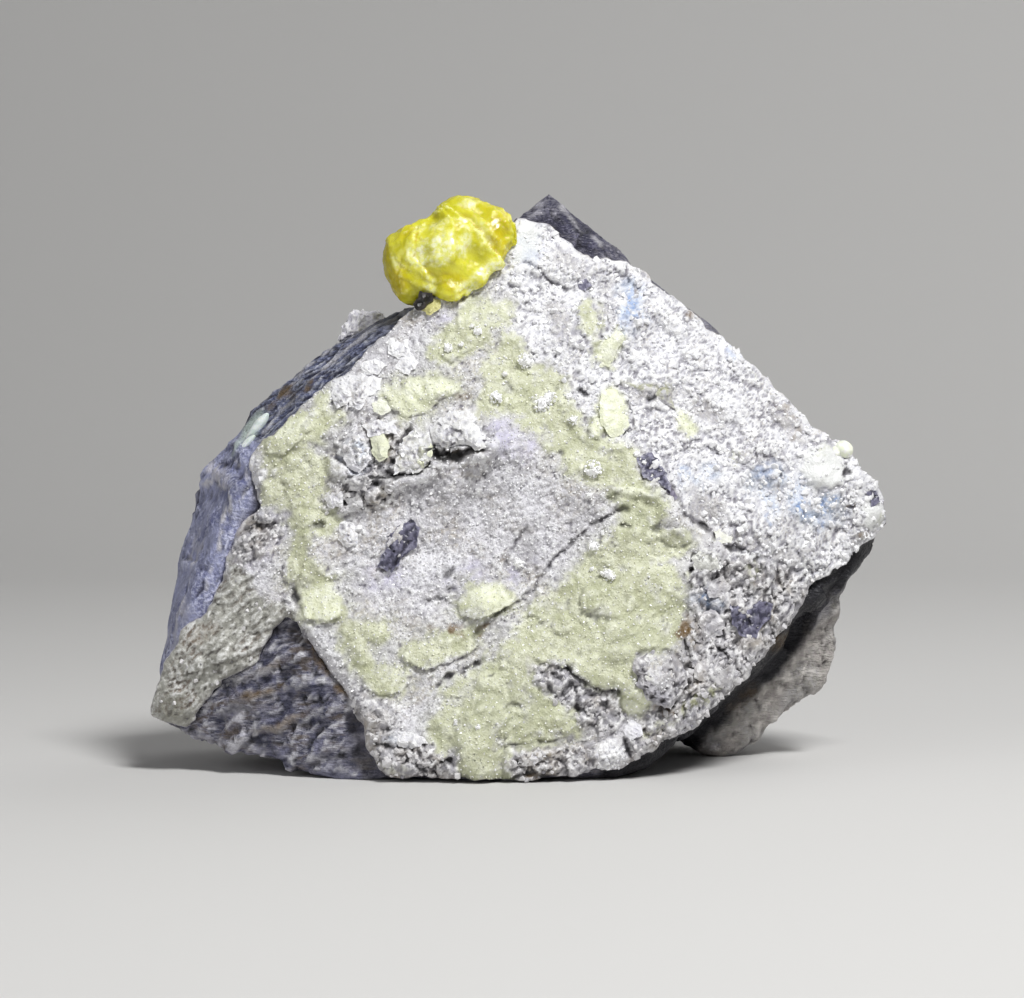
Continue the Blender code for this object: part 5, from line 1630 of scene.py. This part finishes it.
def rock_points(points, normals, relief, sheet):
    """The rock's points, moved by its relief, and kept behind the crust's inner side."""
    cell = cell_of(sheet, points[:, [0, 2]])
    weight = sheet["weight"][cell]
    by_the_crust = smooth_rise(weight, 0.0, 0.3) * (1.0 - smooth_rise(points[:, 1], 8.0, 14.0))
    relief = np.where(relief > 0.0, relief * (1.0 - by_the_crust), relief) - 0.25 * by_the_crust
    moved = points + normals * relief[:, None]
    short = np.clip(sheet["depth"][cell] + ROCK_BEHIND_CRUST - moved[:, 1], 0.0, 4.0)
    front_side = smooth_rise(-normals[:, 1], -0.2, 0.2)
    pushed = np.maximum(front_side, 1.0 - smooth_rise(short, 0.5, 3.0))
    moved[:, 1] += smooth_rise(weight, 0.25, 0.6) * short * pushed

    # The peak is drawn out to a point, and cut to a cone under the top of the box.
    top = moved[moved[:, 2].argmax()]
    moved[:, 2] += APEX_LIFT * (1.0 - smooth_rise(np.linalg.norm(moved - top, axis=1), 0.0, APEX_REACH))
    aside = np.hypot(moved[:, 0] - top[0], moved[:, 1] - top[1])
    moved[:, 2] = np.minimum(moved[:, 2], BOX_HIGH[2] - APEX_SLOPE * np.minimum(aside, APEX_REACH))
    return kept_in_box(moved)


# ---------------------------------------------------------------- the yellow crystals and the lump


def yellow_crystals():
    """The lobed crystals: rounded bodies built of thin curved plates."""
    cluster = welded_copy(["yellow_crystal_cluster"], "yellow_crystals")
    bm = bmesh.new()
    bm.from_mesh(cluster.data)
    for u, v, depth, half_sizes in YELLOW_FILLS.values():
        centre = from_picture(np.array([[u, v]], float), depth)[0]
        place = Matrix.LocRotScale(Vector(centre) * MM, None, Vector(half_sizes) * MM)
        bmesh.ops.create_icosphere(bm, subdivisions=3, radius=1.0, matrix=place)
    bm.to_mesh(cluster.data)
    bm.free()
    closed_up(cluster, CLUSTER_VOXEL, CLUSTER_CLOSING)
    remeshed(cluster, CLUSTER_VOXEL, CLUSTER_SMOOTHING_STEPS)
    points, normals = points_of(cluster), normals_of(cluster)
    loose = picture_place(points) + 2.5 * wander(points, 1.8, 81, 82)
    facing = smooth_rise(-normals[:, 1], -0.1, 0.5)
    arm = (points - points.mean(0)) * [0.8, 1.0, 1.0]
    growth = np.linalg.norm(arm, axis=1) + 1.4 * layered_ripples(points, 4.0, 2, 83)
    plates = (growth / 0.95) % 1.0
    patchy = smooth_rise(ripples(points, 3.2, 84), -0.15, 0.25)
    out = facing * stepped(loose, YELLOW_STEPS)
    out += 0.24 * (plates - smooth_rise(plates, 0.85, 1.0)) * patchy
    out += 0.15 * layered_ripples(points, 2.6, 3, 85) + 0.1 * wrinkles(points, 1.5, 4, 86)
    out -= 0.1 + 0.5 * smooth_rise(normals[:, 0], 0.3, 0.95)
    set_points(cluster, np.clip(points + normals * out[:, None], *box_of("yellow_crystal_cluster")))
    store(cluster, "amber", tint(loose, AMBER_TINTS) * facing + 0.5 * (1.0 - facing))
    # Cloudy white, partly the crystals' own and partly painted highlight.
    store(cluster, "frost", tint(loose, FROST_AND_HIGHLIGHT_TINTS) * facing)
    store_shading_masks(cluster, out, 5)
    cluster.data.shade_smooth()
    return cluster


def rear_lump():
    """The white sugary lump behind the crest."""
    lump = remeshed(welded_copy(["rear_crust_lump"], "rear_white_lump"), LUMP_VOXEL, LUMP_SMOOTHING_STEPS)
    points, normals = points_of(lump), normals_of(lump)
    out = beads(points, 1.5, 0.5, 91) + blocks(points, 0.6, 0.2, 0.3, 92)
    out += 0.3 * wrinkles(points, 1.2, 2, 93) - 0.4
    set_points(lump, np.clip(points + normals * out[:, None], *box_of("rear_crust_lump")))
    store_shading_masks(lump, out, 4)
    lump.data.shade_smooth()
    return lump


def rounded_piece(name, bits):
    """One piece of closed rounded bits with gently rippled skins."""
    bm = bmesh.new()
    for centre, half_sizes, turn, ripple in bits.values():
        ball = bmesh.ops.create_icosphere(bm, subdivisions=4, radius=1.0)["verts"]
        unit = np.array([vertex.co for vertex in ball])
        swell = ripple * layered_ripples(unit + centre, 0.8, 3, 96)
        swollen = unit * (np.array(half_sizes) + swell[:, None])
        placed = (swollen @ turned_by(turn) + centre) * MM
        for vertex, point in zip(ball, placed.tolist()):
            vertex.co = point
    made = object_from(name, bm)
    made.data.shade_smooth()
    set_points(made, kept_in_box(points_of(made)))
    return made


# ---------------------------------------------------------------- materials


def linear(hex_colour):
    """An sRGB hex colour as linear light, with alpha."""
    channels = [int(hex_colour[i : i + 2], 16) / 255 for i in (1, 3, 5)]
    return [c / 12.92 if c <= 0.04045 else ((c + 0.055) / 1.055) ** 2.4 for c in channels] + [1.0]


def add(tree, kind, inputs=None, **settings):
    """A new node with its settings; each input is a value, or the socket that feeds it."""
    made = tree.nodes.new(kind)
    for name, value in settings.items():
        setattr(made, name, value)
    for name, value in (inputs or {}).items():
        if isinstance(value, bpy.types.NodeSocket):
            tree.links.new(value, made.inputs[name])
        else:
            made.inputs[name].default_value = value
    return made


def new_material(name, roughness, ior=1.5, **surface):
    """(material, its tree, its shader); surface holds the shader's other plain values."""
    material = bpy.data.materials.new(name)
    material.use_nodes = True
    shader = material.node_tree.nodes["Principled BSDF"]
    values = {"Roughness": roughness, "IOR": ior, **{k.replace("_", " "): v for k, v in surface.items()}}
    for socket, value in values.items():
        shader.inputs[socket].default_value = value
    return material, material.node_tree, shader


def painted(tree, base, *layers):
    """Colours laid over a base colour, each where all its masks are strong.

    A layer is its masks and then its colour. A mask is a socket, or the name of a number kept on the mesh.
    """
    result = linear(base) if isinstance(base, str) else base
    for *masks, colour in layers:
        sockets = []
        for mask in masks:
            if isinstance(mask, str):
                kept = tree.nodes.get(mask)
                kept = kept or add(tree, "ShaderNodeAttribute", name=mask, attribute_name=mask)
                mask = kept.outputs["Fac"]
            sockets.append(mask)
        strength = sockets[0]
        for mask in sockets[1:]:
            product = add(tree, "ShaderNodeMath", {0: strength, 1: mask}, operation="MULTIPLY")
            strength = product.outputs["Value"]
        colour = linear(colour) if isinstance(colour, str) else colour
        mix = add(tree, "ShaderNodeMix", {"Factor": strength, 6: result, 7: colour}, data_type="RGBA")
        result = mix.outputs[2]
    return result


def speckle(tree, where, size, low, high, detail=3.0):
    """Patches of noise with features of that size in millimetres, 0 to 1."""
    texture = add(tree, "ShaderNodeTexNoise", {"Vector": where, "Scale": 1 / (size * MM), "Detail": detail})
    spread = {"Value": texture.outputs["Fac"], "From Min": low, "From Max": high}
    return add(tree, "ShaderNodeMapRange", spread).outputs["Result"]


def streaks(tree, where, rise, size, low, high):
    """Noise drawn out along lines that rise to the right at an angle in degrees."""
    turned = {"Vector": where, "Rotation": (0.0, math.radians(rise), 0.0), "Scale": (0.2, 0.6, 1.0)}
    along = add(tree, "ShaderNodeMapping", turned)
    return speckle(tree, along.outputs["Vector"], size, low, high, 5.0)


def drusy_crust_material():
    """Drusy crust: sugar-fine crystals grown on stone. Pale, uneven, sparkling; painted shade in its
    crevices, holes and cracks, painted highlights on its crests.
    """
    material, tree, shader = new_material("drusy crust", roughness=0.42, ior=1.55)
    where = add(tree, "ShaderNodeTexCoord").outputs["Object"]
    vast = speckle(tree, where, 6.0, 0.42, 0.6)
    broad = speckle(tree, where, 2.6, 0.38, 0.64)
    medium = speckle(tree, where, 0.9, 0.38, 0.62)
    fine = speckle(tree, where, 0.33, 0.4, 0.62, 2.0)
    # In the layers below, crest means a painted highlight on crests and crevice a painted shade in crevices.
    grey = painted(
        tree, "#b7b5b9",
        (broad, "#cfcdd3"), (vast, medium, "#bcb4a9"), (broad, fine, "#e9e8ec"),
        ("wash", "#c5c6b5"), ("wash", medium, "#d4d6bd"),
        ("bright", medium, "#e6e5ec"), ("bright", fine, "#f0f0f4"),
        ("crest", medium, "#f1f1f2"), ("crevice", medium, "#7f7c84"))
    white = painted(
        tree, "#dfdfe4",
        (medium, "#efeff1"), (vast, broad, "#cbcbd8"), (vast, fine, "#bab4ac"), (broad, fine, "#f6f6f7"),
        ("crest", "#f5f5f6"), ("smudge", "#cfccce"), ("smudge", broad, "#aba7a4"),
        ("smudge", medium, "#969291"), ("crest", fine, "#f6f5f5"), ("crevice", "#c2c1c9"),
        ("crevice", vast, "#8f8c94"), ("crevice", broad, fine, "#77747c"))
    # Painted shade darkens the green under lips and beside lumps.
    green = painted(
        tree, "#bfc2a0",
        (broad, "#d3d5b6"), (vast, medium, "#b4b597"), ("crest", medium, "#e9ebd6"),
        (broad, fine, "#dfe1ca"), ("crevice", broad, "#9a9b86"), ("dull", medium, "#a5a88a"))
    pale = painted(tree, "#e3e6c6", (medium, "#f0f2df"), ("crevice", "#c3c6a2"))
    stone = painted(
        tree, "#a3a1a7",
        (medium, "#cfcdd0"), (vast, broad, "#a99f90"), ("crest", medium, "#f4f3f3"),
        ("crevice", broad, "#46434b"), ("crevice", medium, "#2e2c31"))
    wing = painted(
        tree, "#9c9b93",
        (medium, "#bdbcb4"), (vast, fine, "#d4d4d3"), ("crest", medium, "#f0f0ed"),
        ("bright", broad, "#d3d3ca"), ("dull", broad, "#6f6d64"), ("dull", medium, "#8b897c"),
        (vast, "crevice", "#786454"), ("crevice", medium, "#5b5853"))
    # The shade layer is painted shade, near black, in the holes and cracks.
    base = painted(
        tree, grey,
        ("lilac", broad, "#c9c5dc"), ("olive_stone", wing), ("stone", stone), ("white", white),
        ("green", green), ("pale_green", pale), ("milky", "#ebecea"), ("haze", broad, "#bccbe2"),
        ("olive", medium, "#a3a57a"), ("blue", medium, "#86a3d2"), ("rust", "rust", "#8a7a66"),
        ("rust", medium, "#6b532f"), ("foil", broad, "#a09ea6"), ("foil", "crevice", "#3a373b"),
        ("lemon", "#c9c35a"), ("shade", "#12100f"))
    height = add(tree, "ShaderNodeBump", {"Height": fine, "Strength": 0.4, "Distance": 0.15 * MM})
    tree.links.new(base, shader.inputs["Base Color"])
    tree.links.new(height.outputs["Normal"], shader.inputs["Normal"])
    return material


def slate_chip_material():
    """Chips of slate: dark blue-violet, satin, with painted glints along broken edges, painted shade in
    crevices and a painted shadow under the yellow crystals.
    """
    material, tree, shader = new_material("slate chips", roughness=0.38)
    where = add(tree, "ShaderNodeTexCoord").outputs["Object"]
    medium = speckle(tree, where, 0.9, 0.4, 0.6)
    fine = speckle(tree, where, 0.25, 0.42, 0.6)
    # Crest layers are painted highlights on broken edges, crevice layers painted shade, and the near-black
    # layers a painted shadow under the yellow crystals.
    base = painted(
        tree, "#414052",
        (medium, "#5f5d74"), ("crest", medium, "#a7a6b8"), (fine, medium, "#79778c"),
        ("crevice", "#24232d"), ("rust", "#6a4a50"), ("soot", "#0b0909"), ("soot", "crest", "#3d3737"))
    tree.links.new(base, shader.inputs["Base Color"])
    return material


def grain_material(name, dull, bright, roughness, ior):
    """Small glassy crystals of one kind, some duller. They glint where a face meets the light."""
    material, tree, shader = new_material(name, roughness, ior)
    where = add(tree, "ShaderNodeTexCoord").outputs["Object"]
    cloud = speckle(tree, where, 1.6, 0.35, 0.65)
    base = painted(tree, dull, ("tone", bright), (cloud, "tone", bright))
    tree.links.new(base, shader.inputs["Base Color"])
    return material


def slate_material():
    """Slate: fine-grained, split in leaves. Dark blue-violet with a satin skin, rust and pale scars; painted
    highlights on the smooth strip and on crests, painted shade in crevices, and a painted shadow on the band
    under the crust's edge.
    """
    material, tree, shader = new_material("slate", roughness=0.5)
    where = add(tree, "ShaderNodeTexCoord").outputs["Object"]
    broad = speckle(tree, where, 9.0, 0.38, 0.62)
    patchy = speckle(tree, where, 3.6, 0.42, 0.58, 5.0)
    medium = speckle(tree, where, 1.6, 0.38, 0.62, 6.0)
    fine = speckle(tree, where, 0.45, 0.4, 0.62)
    leaf = streaks(tree, where, 28, 0.7, 0.43, 0.58)
    thin_leaf = streaks(tree, where, 26, 0.26, 0.43, 0.58)
    bevel_leaf = streaks(tree, where, 43, 0.7, 0.42, 0.6)
    scuff = streaks(tree, where, 72, 0.5, 0.5, 0.66)
    steep = streaks(tree, where, -60, 0.35, 0.5, 0.62)
    strip = painted(
        tree, "#676b90",
        (patchy, "#9b9fc2"), (medium, fine, "#bdc0d8"), (broad, medium, "#8c90ae"),
        (scuff, fine, "#bbbeda"), ("crest", fine, "#cbcee6"), ("crevice", medium, "#33344b"))
    bevel = painted(
        tree, "#292b40",
        (bevel_leaf, "#525a80"), (patchy, bevel_leaf, broad, "#5f5f5a"), (fine, bevel_leaf, "#8f94ad"),
        ("crest", medium, "#dcdee8"), ("crevice", medium, "#11121a"))
    peak = painted(
        tree, "#24233a",
        (medium, "#3b3a54"), (patchy, fine, "#5b5a68"), ("crest", fine, "#77758a"),
        (steep, patchy, "#7f7d88"), ("crevice", "#191825"))
    triangle = painted(
        tree, "#42435a",
        (leaf, "#7c7c93"), (thin_leaf, patchy, "#b1b0be"), (patchy, leaf, "#5c5350"),
        ("crest", medium, "#cfced4"), ("crevice", medium, "#11111a"))
    ledge = painted(
        tree, "#a39b9a",
        (medium, "#c8c1bc"), (patchy, "#aeabab"), (broad, fine, "#a9a69f"), ("crest", medium, "#dcd7d2"),
        ("crevice", medium, "#4b4647"))
    rear = painted(
        tree, "#444453",
        (patchy, "#5a5a6d"), (broad, leaf, "#756d63"), (thin_leaf, patchy, "#7d7c8a"),
        (broad, medium, fine, "#8d8a8c"), ("crest", medium, "#9a98a4"), ("crevice", medium, "#24232c"))
    # The band layer is a painted shadow, the pale layer holds painted highlights on the strip besides pale
    # scars, and crest and crevice layers are painted highlights and painted shade.
    base = painted(
        tree, rear,
        ("strip", strip), ("bevel", bevel), ("peak", peak), ("triangle", triangle), ("rear_ledge", ledge),
        ("band", "#1a1920"), ("pale", medium, "#cbc9d3"), ("vein", "#d8d6da"), ("rust", "#514843"),
        ("rust", medium, "#7c6339"), ("dark", medium, "#1d1c26"), ("mint", "#c4d2cc"))
    rough = add(tree, "ShaderNodeMapRange", {"Value": fine, "To Min": 0.36, "To Max": 0.62})
    flank = tree.nodes["strip"].outputs["Fac"]
    split = add(tree, "ShaderNodeMix", {"Factor": flank, 2: thin_leaf, 3: patchy})
    height = add(tree, "ShaderNodeBump", {
        "Height": split.outputs[0], "Strength": 0.6, "Distance": 0.3 * MM})
    grit = add(tree, "ShaderNodeBump", {
        "Height": fine, "Normal": height.outputs["Normal"], "Strength": 0.5, "Distance": 0.15 * MM})
    tree.links.new(base, shader.inputs["Base Color"])
    tree.links.new(rough.outputs["Result"], shader.inputs["Roughness"])
    tree.links.new(grit.outputs["Normal"], shader.inputs["Normal"])
    return material


def yellow_crystal_material():
    """Brucite: waxy to pearly, translucent. Lemon where thin, amber where thick, with a wet-looking skin;
    cloudy white that is partly painted highlight, painted highlights on crests, painted shade in crevices.
    """
    material, tree, shader = new_material(
        "yellow brucite", roughness=0.13, ior=1.57, Subsurface_Weight=0.6, Subsurface_Scale=1.5 * MM,
        Subsurface_Radius=(1.0, 0.92, 0.25))
    where = add(tree, "ShaderNodeTexCoord").outputs["Object"]
    cloud = speckle(tree, where, 2.4, 0.4, 0.6)
    fine = speckle(tree, where, 0.6, 0.42, 0.6)
    crinkle = speckle(tree, where, 1.3, 0.4, 0.6, 6.0)
    base = painted(
        tree, "#d3ce2e",
        (cloud, "#e0dc46"), ("amber", "#c0b00c"), ("amber", cloud, "#d8c81c"), ("frost", "#ecec84"),
        ("frost", fine, "#fafad4"), ("crest", fine, "#f8f8a4"), ("crevice", cloud, "#c9b612"))
    height = add(tree, "ShaderNodeBump", {"Height": crinkle, "Strength": 0.45, "Distance": 0.22 * MM})
    tree.links.new(base, shader.inputs["Base Color"])
    tree.links.new(height.outputs["Normal"], shader.inputs["Normal"])
    return material


def white_lump_material():
    """Sugary white crust, with painted shade in its creases and painted highlights on its crests."""
    material, tree, shader = new_material("white sugary crust", roughness=0.45)
    where = add(tree, "ShaderNodeTexCoord").outputs["Object"]
    medium = speckle(tree, where, 0.8, 0.4, 0.6)
    base = painted(tree, "#eeecf5", (medium, "#fbfafd"), ("crest", "#ffffff"), ("crevice", "#c3c1cb"))
    tree.links.new(base, shader.inputs["Base Color"])
    return material


def waxy_material(name, hex_colour, cloudy_hex):
    """Pale waxy mineral, a little translucent, cloudy inside."""
    material, tree, shader = new_material(
        name, roughness=0.55, Subsurface_Weight=0.5, Subsurface_Scale=0.4 * MM,
        Subsurface_Radius=(1.0, 1.0, 0.8))
    where = add(tree, "ShaderNodeTexCoord").outputs["Object"]
    cloud = speckle(tree, where, 0.8, 0.42, 0.6)
    base = painted(tree, hex_colour, (cloud, cloudy_hex))
    tree.links.new(base, shader.inputs["Base Color"])
    return material


def plain_material(name, hex_colour, roughness):
    """One even colour: bright snow-white crystals, or the paper they are shown on."""
    return new_material(name, roughness, Base_Color=linear(hex_colour))[0]


# ---------------------------------------------------------------- small crystals


def add_hull(bm, centre, size, corners, chance, unit=MM):
    """A closed angular lump: the hull of a few points on a ball."""
    directions = chance.normal(size=(corners, 3))
    directions /= np.linalg.norm(directions, axis=1)[:, None]
    verts = [bm.verts.new(point) for point in ((centre + 0.5 * size * directions) * unit).tolist()]
    bmesh.ops.convex_hull(bm, input=verts)


def add_spar(bm):
    """A double-ended crystal, 1 across its size."""
    ring = []
    for side in range(SPAR_SIDES):
        angle = 2 * math.pi * side / SPAR_SIDES
        ring.append(bm.verts.new((SPAR_WIDTH * math.cos(angle) / 2, SPAR_WIDTH * math.sin(angle) / 2, 0.0)))
    top, bottom = [bm.verts.new((0.0, 0.0, end * SPAR_LENGTH / 2)) for end in (1, -1)]
    for a, b in zip(ring, ring[1:] + ring[:1]):
        bm.faces.new((a, b, top))
        bm.faces.new((b, a, bottom))


def crystal_shapes():
    """The shapes that are scattered, each of about unit size."""
    made = {}
    for name in ("spar", *HULLS):
        bm = bmesh.new()
        if name == "spar":
            add_spar(bm)
        else:
            seed, corners = HULLS[name]
            add_hull(bm, 0.0, 1.0, corners, np.random.default_rng(seed), unit=1.0)
        made[name] = object_from(name, bm)
        made[name].hide_render = True
    return made


def scatter_tree():
    """A Geometry Nodes tree that grows small crystals on a surface, where a stored number is high."""
    tree = bpy.data.node_groups.new("grow small crystals", "GeometryNodeTree")
    inputs = {
        "Surface": "Geometry", "Crystal": "Object", "Where": "String", "Spacing": "Float",
        "Smallest": "Float", "Largest": "Float", "Lean": "Float", "Density": "Float", "Seed": "Int",
        "Material": "Material"}
    for name, kind in inputs.items():
        tree.interface.new_socket(name=name, in_out="INPUT", socket_type=f"NodeSocket{kind}")
    tree.interface.new_socket(name="Crystals", in_out="OUTPUT", socket_type="NodeSocketGeometry")
    given = add(tree, "NodeGroupInput").outputs
    mask = add(tree, "GeometryNodeInputNamedAttribute", {"Name": given["Where"]}, data_type="FLOAT")
    spread = add(tree, "GeometryNodeDistributePointsOnFaces", {
        "Mesh": given["Surface"], "Distance Min": given["Spacing"], "Density Max": given["Density"],
        "Density Factor": mask.outputs["Attribute"], "Seed": given["Seed"]}, distribute_method="POISSON")
    lean = add(tree, "ShaderNodeCombineXYZ", {"X": given["Lean"], "Y": given["Lean"], "Z": math.pi})
    back = add(tree, "ShaderNodeVectorMath", {0: lean.outputs["Vector"], "Scale": -1.0}, operation="SCALE")
    tilt = add(tree, "FunctionNodeRandomValue", {
        "Min": back.outputs["Vector"], "Max": lean.outputs["Vector"], "Seed": given["Seed"]},
        data_type="FLOAT_VECTOR")
    turn = add(tree, "FunctionNodeEulerToRotation", {"Euler": tilt.outputs["Value"]})
    turned = add(tree, "FunctionNodeRotateRotation", {
        "Rotation": spread.outputs["Rotation"], "Rotate By": turn.outputs["Rotation"]},
        rotation_space="LOCAL")
    size = add(tree, "FunctionNodeRandomValue", {
        2: given["Smallest"], 3: given["Largest"], "Seed": given["Seed"]}, data_type="FLOAT")
    shape = add(tree, "GeometryNodeObjectInfo", {"Object": given["Crystal"]})
    grown = add(tree, "GeometryNodeInstanceOnPoints", {
        "Points": spread.outputs["Points"], "Instance": shape.outputs["Geometry"],
        "Rotation": turned.outputs["Rotation"], "Scale": size.outputs[1]})
    tone = add(tree, "FunctionNodeRandomValue", {2: 0.0, 3: 1.0, "Seed": given["Seed"]}, data_type="FLOAT")
    kept = add(tree, "GeometryNodeStoreNamedAttribute", {
        "Geometry": grown.outputs["Instances"], "Name": "tone", "Value": tone.outputs[1]},
        data_type="FLOAT", domain="INSTANCE")
    real = add(tree, "GeometryNodeRealizeInstances", {"Geometry": kept.outputs["Geometry"]})
    coated = add(tree, "GeometryNodeSetMaterial", {
        "Geometry": real.outputs["Geometry"], "Material": given["Material"]})
    add(tree, "NodeGroupOutput", {"Crystals": coated.outputs["Geometry"]})
    return tree


def grown_crystals(name, surface, tree, inputs):
    """Crystals grown over a surface, as a plain mesh."""
    soil = surface.copy()
    soil.data = surface.data.copy()
    bpy.context.scene.collection.objects.link(soil)
    modifier = soil.modifiers.new("Grow", "NODES")
    modifier.node_group = tree
    for item in tree.interface.items_tree:
        if item.in_out == "INPUT" and item.name in inputs:
            modifier[item.identifier] = inputs[item.name]
    mesh = evaluated(soil)
    bpy.data.objects.remove(soil)
    made = make_object(name, mesh)
    set_points(made, kept_in_box(points_of(made)))
    made.data.shade_flat()
    return made


def grow_all(crust):
    """Every kind of small crystal on the crust: (piece, material)."""
    tree = scatter_tree()
    shapes = crystal_shapes()
    made = []
    for index, (name, kind) in enumerate(GROWN.items()):
        shape, spacing, smallest, largest, lean, *finish = kind
        material = grain_material(*finish)
        piece = grown_crystals(name, crust, tree, {
            "Crystal": shapes[shape], "Where": name, "Spacing": spacing * MM, "Smallest": smallest * MM,
            "Largest": largest * MM, "Lean": lean, "Density": CROWDING / (spacing * MM) ** 2,
            "Seed": SEED + index, "Material": material})
        made.append((piece, material))
    for shape in shapes.values():
        bpy.data.objects.remove(shape)
    return made


def seed_bed(crust):
    """Where each kind of small crystal grows: a number on the crust, named as the piece."""
    wanted = ("green", "white", "stone", "olive_stone", "milky", "shade", "front", "crevice", "under_chip")
    green, white, stone, wing, milky, shade, front, crevice, under_chip = [
        read(crust.data.attributes[name].data, "value")[:, 0] for name in wanted]
    patchy = 0.25 + 0.75 * smooth_rise(layered_ripples(points_of(crust), 2.2, 2, 95), -0.2, 0.25)
    open_ground = front * (1.0 - shade) * (1.0 - 0.7 * crevice)
    open_ground *= 1.0 - smooth_rise(under_chip, 0.0, 0.4)
    grey = np.clip(1.0 - white - green - np.maximum(stone, wing), 0.0, 1.0)
    beds = {
        "white_crystal_grains": white * patchy * (1.0 - 0.8 * milky),
        "green_druse_grains": green * patchy,
        "grey_druse_grains": grey * patchy,
        "stony_grains": (stone + 0.12 * wing) * patchy,
        "bright_sparkles": np.maximum(green, 0.8 * grey),
        "white_crumbs": white * patchy * (1.0 - milky),
        "stone_crumbs": stone,
    }
    for name, bed in beds.items():
        store(crust, name, open_ground * bed)


def snow_tufts(sheet):
    """Tufts of snow-white crystals on the druse, each a heap of small angular lumps."""
    chance = np.random.default_rng(SEED)
    bm = bmesh.new()
    for u, v, radius in SNOW_TUFTS:
        reach = 1.2 * radius * MM_PER_PIXEL
        centre = on_the_crust(np.array([[u, v]], float), sheet)[0] - [0.0, 0.3 * reach, 0.0]
        add_hull(bm, centre, 1.6 * reach, LUMP_CORNERS, chance)
        for _ in range(int(8 + 3.0 * radius)):
            direction = chance.normal(size=3)
            direction[1] = -abs(direction[1])
            direction /= np.linalg.norm(direction)
            foot = centre + reach * direction * [0.9, 0.7, 0.9] * chance.uniform(0.75, 1.0)
            add_hull(bm, foot, reach * chance.uniform(0.18, 0.42), LUMP_CORNERS, chance)
    made = object_from("snow_tufts", bm)
    set_points(made, kept_in_box(points_of(made)))
    return made


# ---------------------------------------------------------------- the studio


def sweep_mesh():
    """A sheet of paper: flat underfoot, then curving up into a wall."""
    profile = [(-FLOOR_FRONT, 0.0)]
    for step in range(SWEEP_STEPS + 1):
        angle = math.pi / 2 * step / SWEEP_STEPS
        profile.append((FLOOR_BACK + SWEEP_RADIUS * math.sin(angle), SWEEP_RADIUS * (1.0 - math.cos(angle))))
    profile.append((FLOOR_BACK + SWEEP_RADIUS, WALL_TOP))
    verts = [(side * FLOOR_SIDE, y, z) for y, z in profile for side in (-1, 1)]
    faces = [(2 * i, 2 * i + 1, 2 * i + 3, 2 * i + 2) for i in range(len(profile) - 1)]
    mesh = bpy.data.meshes.new("floor")
    mesh.from_pydata(verts, [], faces)
    mesh.shade_smooth()
    return mesh


def make_studio():
    """A pale floor and backdrop, soft light, and the front camera."""
    scene = bpy.context.scene
    camera = make_object("camera", bpy.data.cameras.new("camera"))
    camera.location = Vector(CAMERA_PLACE) * MM
    camera.rotation_euler = (math.pi / 2 - CAMERA_TILT, 0.0, 0.0)
    camera.data.lens = LENS
    camera.data.sensor_width = SENSOR
    camera.data.clip_start = NEAREST_SEEN
    scene.camera = camera

    floor = make_object("floor", sweep_mesh())
    floor.data.materials.append(plain_material("pale studio paper", "#cfcecc", 0.8))

    for name, (place, size, power) in LIGHTS.items():
        lamp = make_object(name, bpy.data.lights.new(name, "AREA"))
        lamp.data.size = size
        lamp.data.energy = power
        lamp.location = place
        lamp.rotation_euler = (Vector(LIGHTS_AIM) - Vector(place)).to_track_quat("-Z", "Y").to_euler()

    world = bpy.data.worlds.new("studio")
    world.use_nodes = True
    background = world.node_tree.nodes["Background"]
    background.inputs["Color"].default_value = linear(ROOM_COLOUR)
    background.inputs["Strength"].default_value = ROOM_LIGHT
    scene.world = world
    scene.view_settings.view_transform = "Standard"


# ---------------------------------------------------------------- the specimen

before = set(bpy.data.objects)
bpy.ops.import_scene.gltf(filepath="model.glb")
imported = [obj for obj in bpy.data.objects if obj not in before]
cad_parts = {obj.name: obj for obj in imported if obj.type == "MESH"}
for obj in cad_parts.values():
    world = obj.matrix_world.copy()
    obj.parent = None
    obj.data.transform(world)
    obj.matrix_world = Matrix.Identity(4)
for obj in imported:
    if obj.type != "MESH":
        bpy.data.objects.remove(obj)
CAD_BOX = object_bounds()
BOX_LOW = [value / MM for value in CAD_BOX[0]]
BOX_HIGH = [value / MM for value in CAD_BOX[1]]


def main():
    """Make every piece, give it its finish, and set the studio round it."""
    crust, sheet = crust_piece()
    seed_bed(crust)
    rock = rock_piece(sheet)
    cluster = yellow_crystals()
    lump = rear_lump()
    for piece, material in grow_all(crust):
        finished(piece, material, "pale_druse")
    snow = plain_material("snow-white crystals", "#ffffff", 0.35)
    finished(snow_tufts(sheet), snow, "white_crust")
    druse = drusy_crust_material()
    finished(crust, druse, "pale_druse", "drusy_crust")
    finished(flake_piece("crust_chips", sheet, lambda kinds: "slate" not in kinds), druse, "pale_druse")
    slate_chips = flake_piece("slate_chips", sheet, lambda kinds: "slate" in kinds)
    finished(slate_chips, slate_chip_material(), "dark_rock")
    finished(rock, slate_material(), "dark_rock", "host_rock")
    finished(cluster, yellow_crystal_material(), "yellow_crystal", "yellow_crystal_cluster")
    finished(lump, white_lump_material(), "white_crust", "rear_crust_lump")
    bud = waxy_material("pale green waxy bud", "#eef3dd", "#fbfcf5")
    finished(rounded_piece("green_bud", GREEN_BUD), bud, "pale_druse")
    mint = waxy_material("pale mint flake", "#d0dcd7", "#e9efed")
    finished(rounded_piece("mint_flake", MINT_LEAF), mint, "pale_druse")
    make_studio()


main()
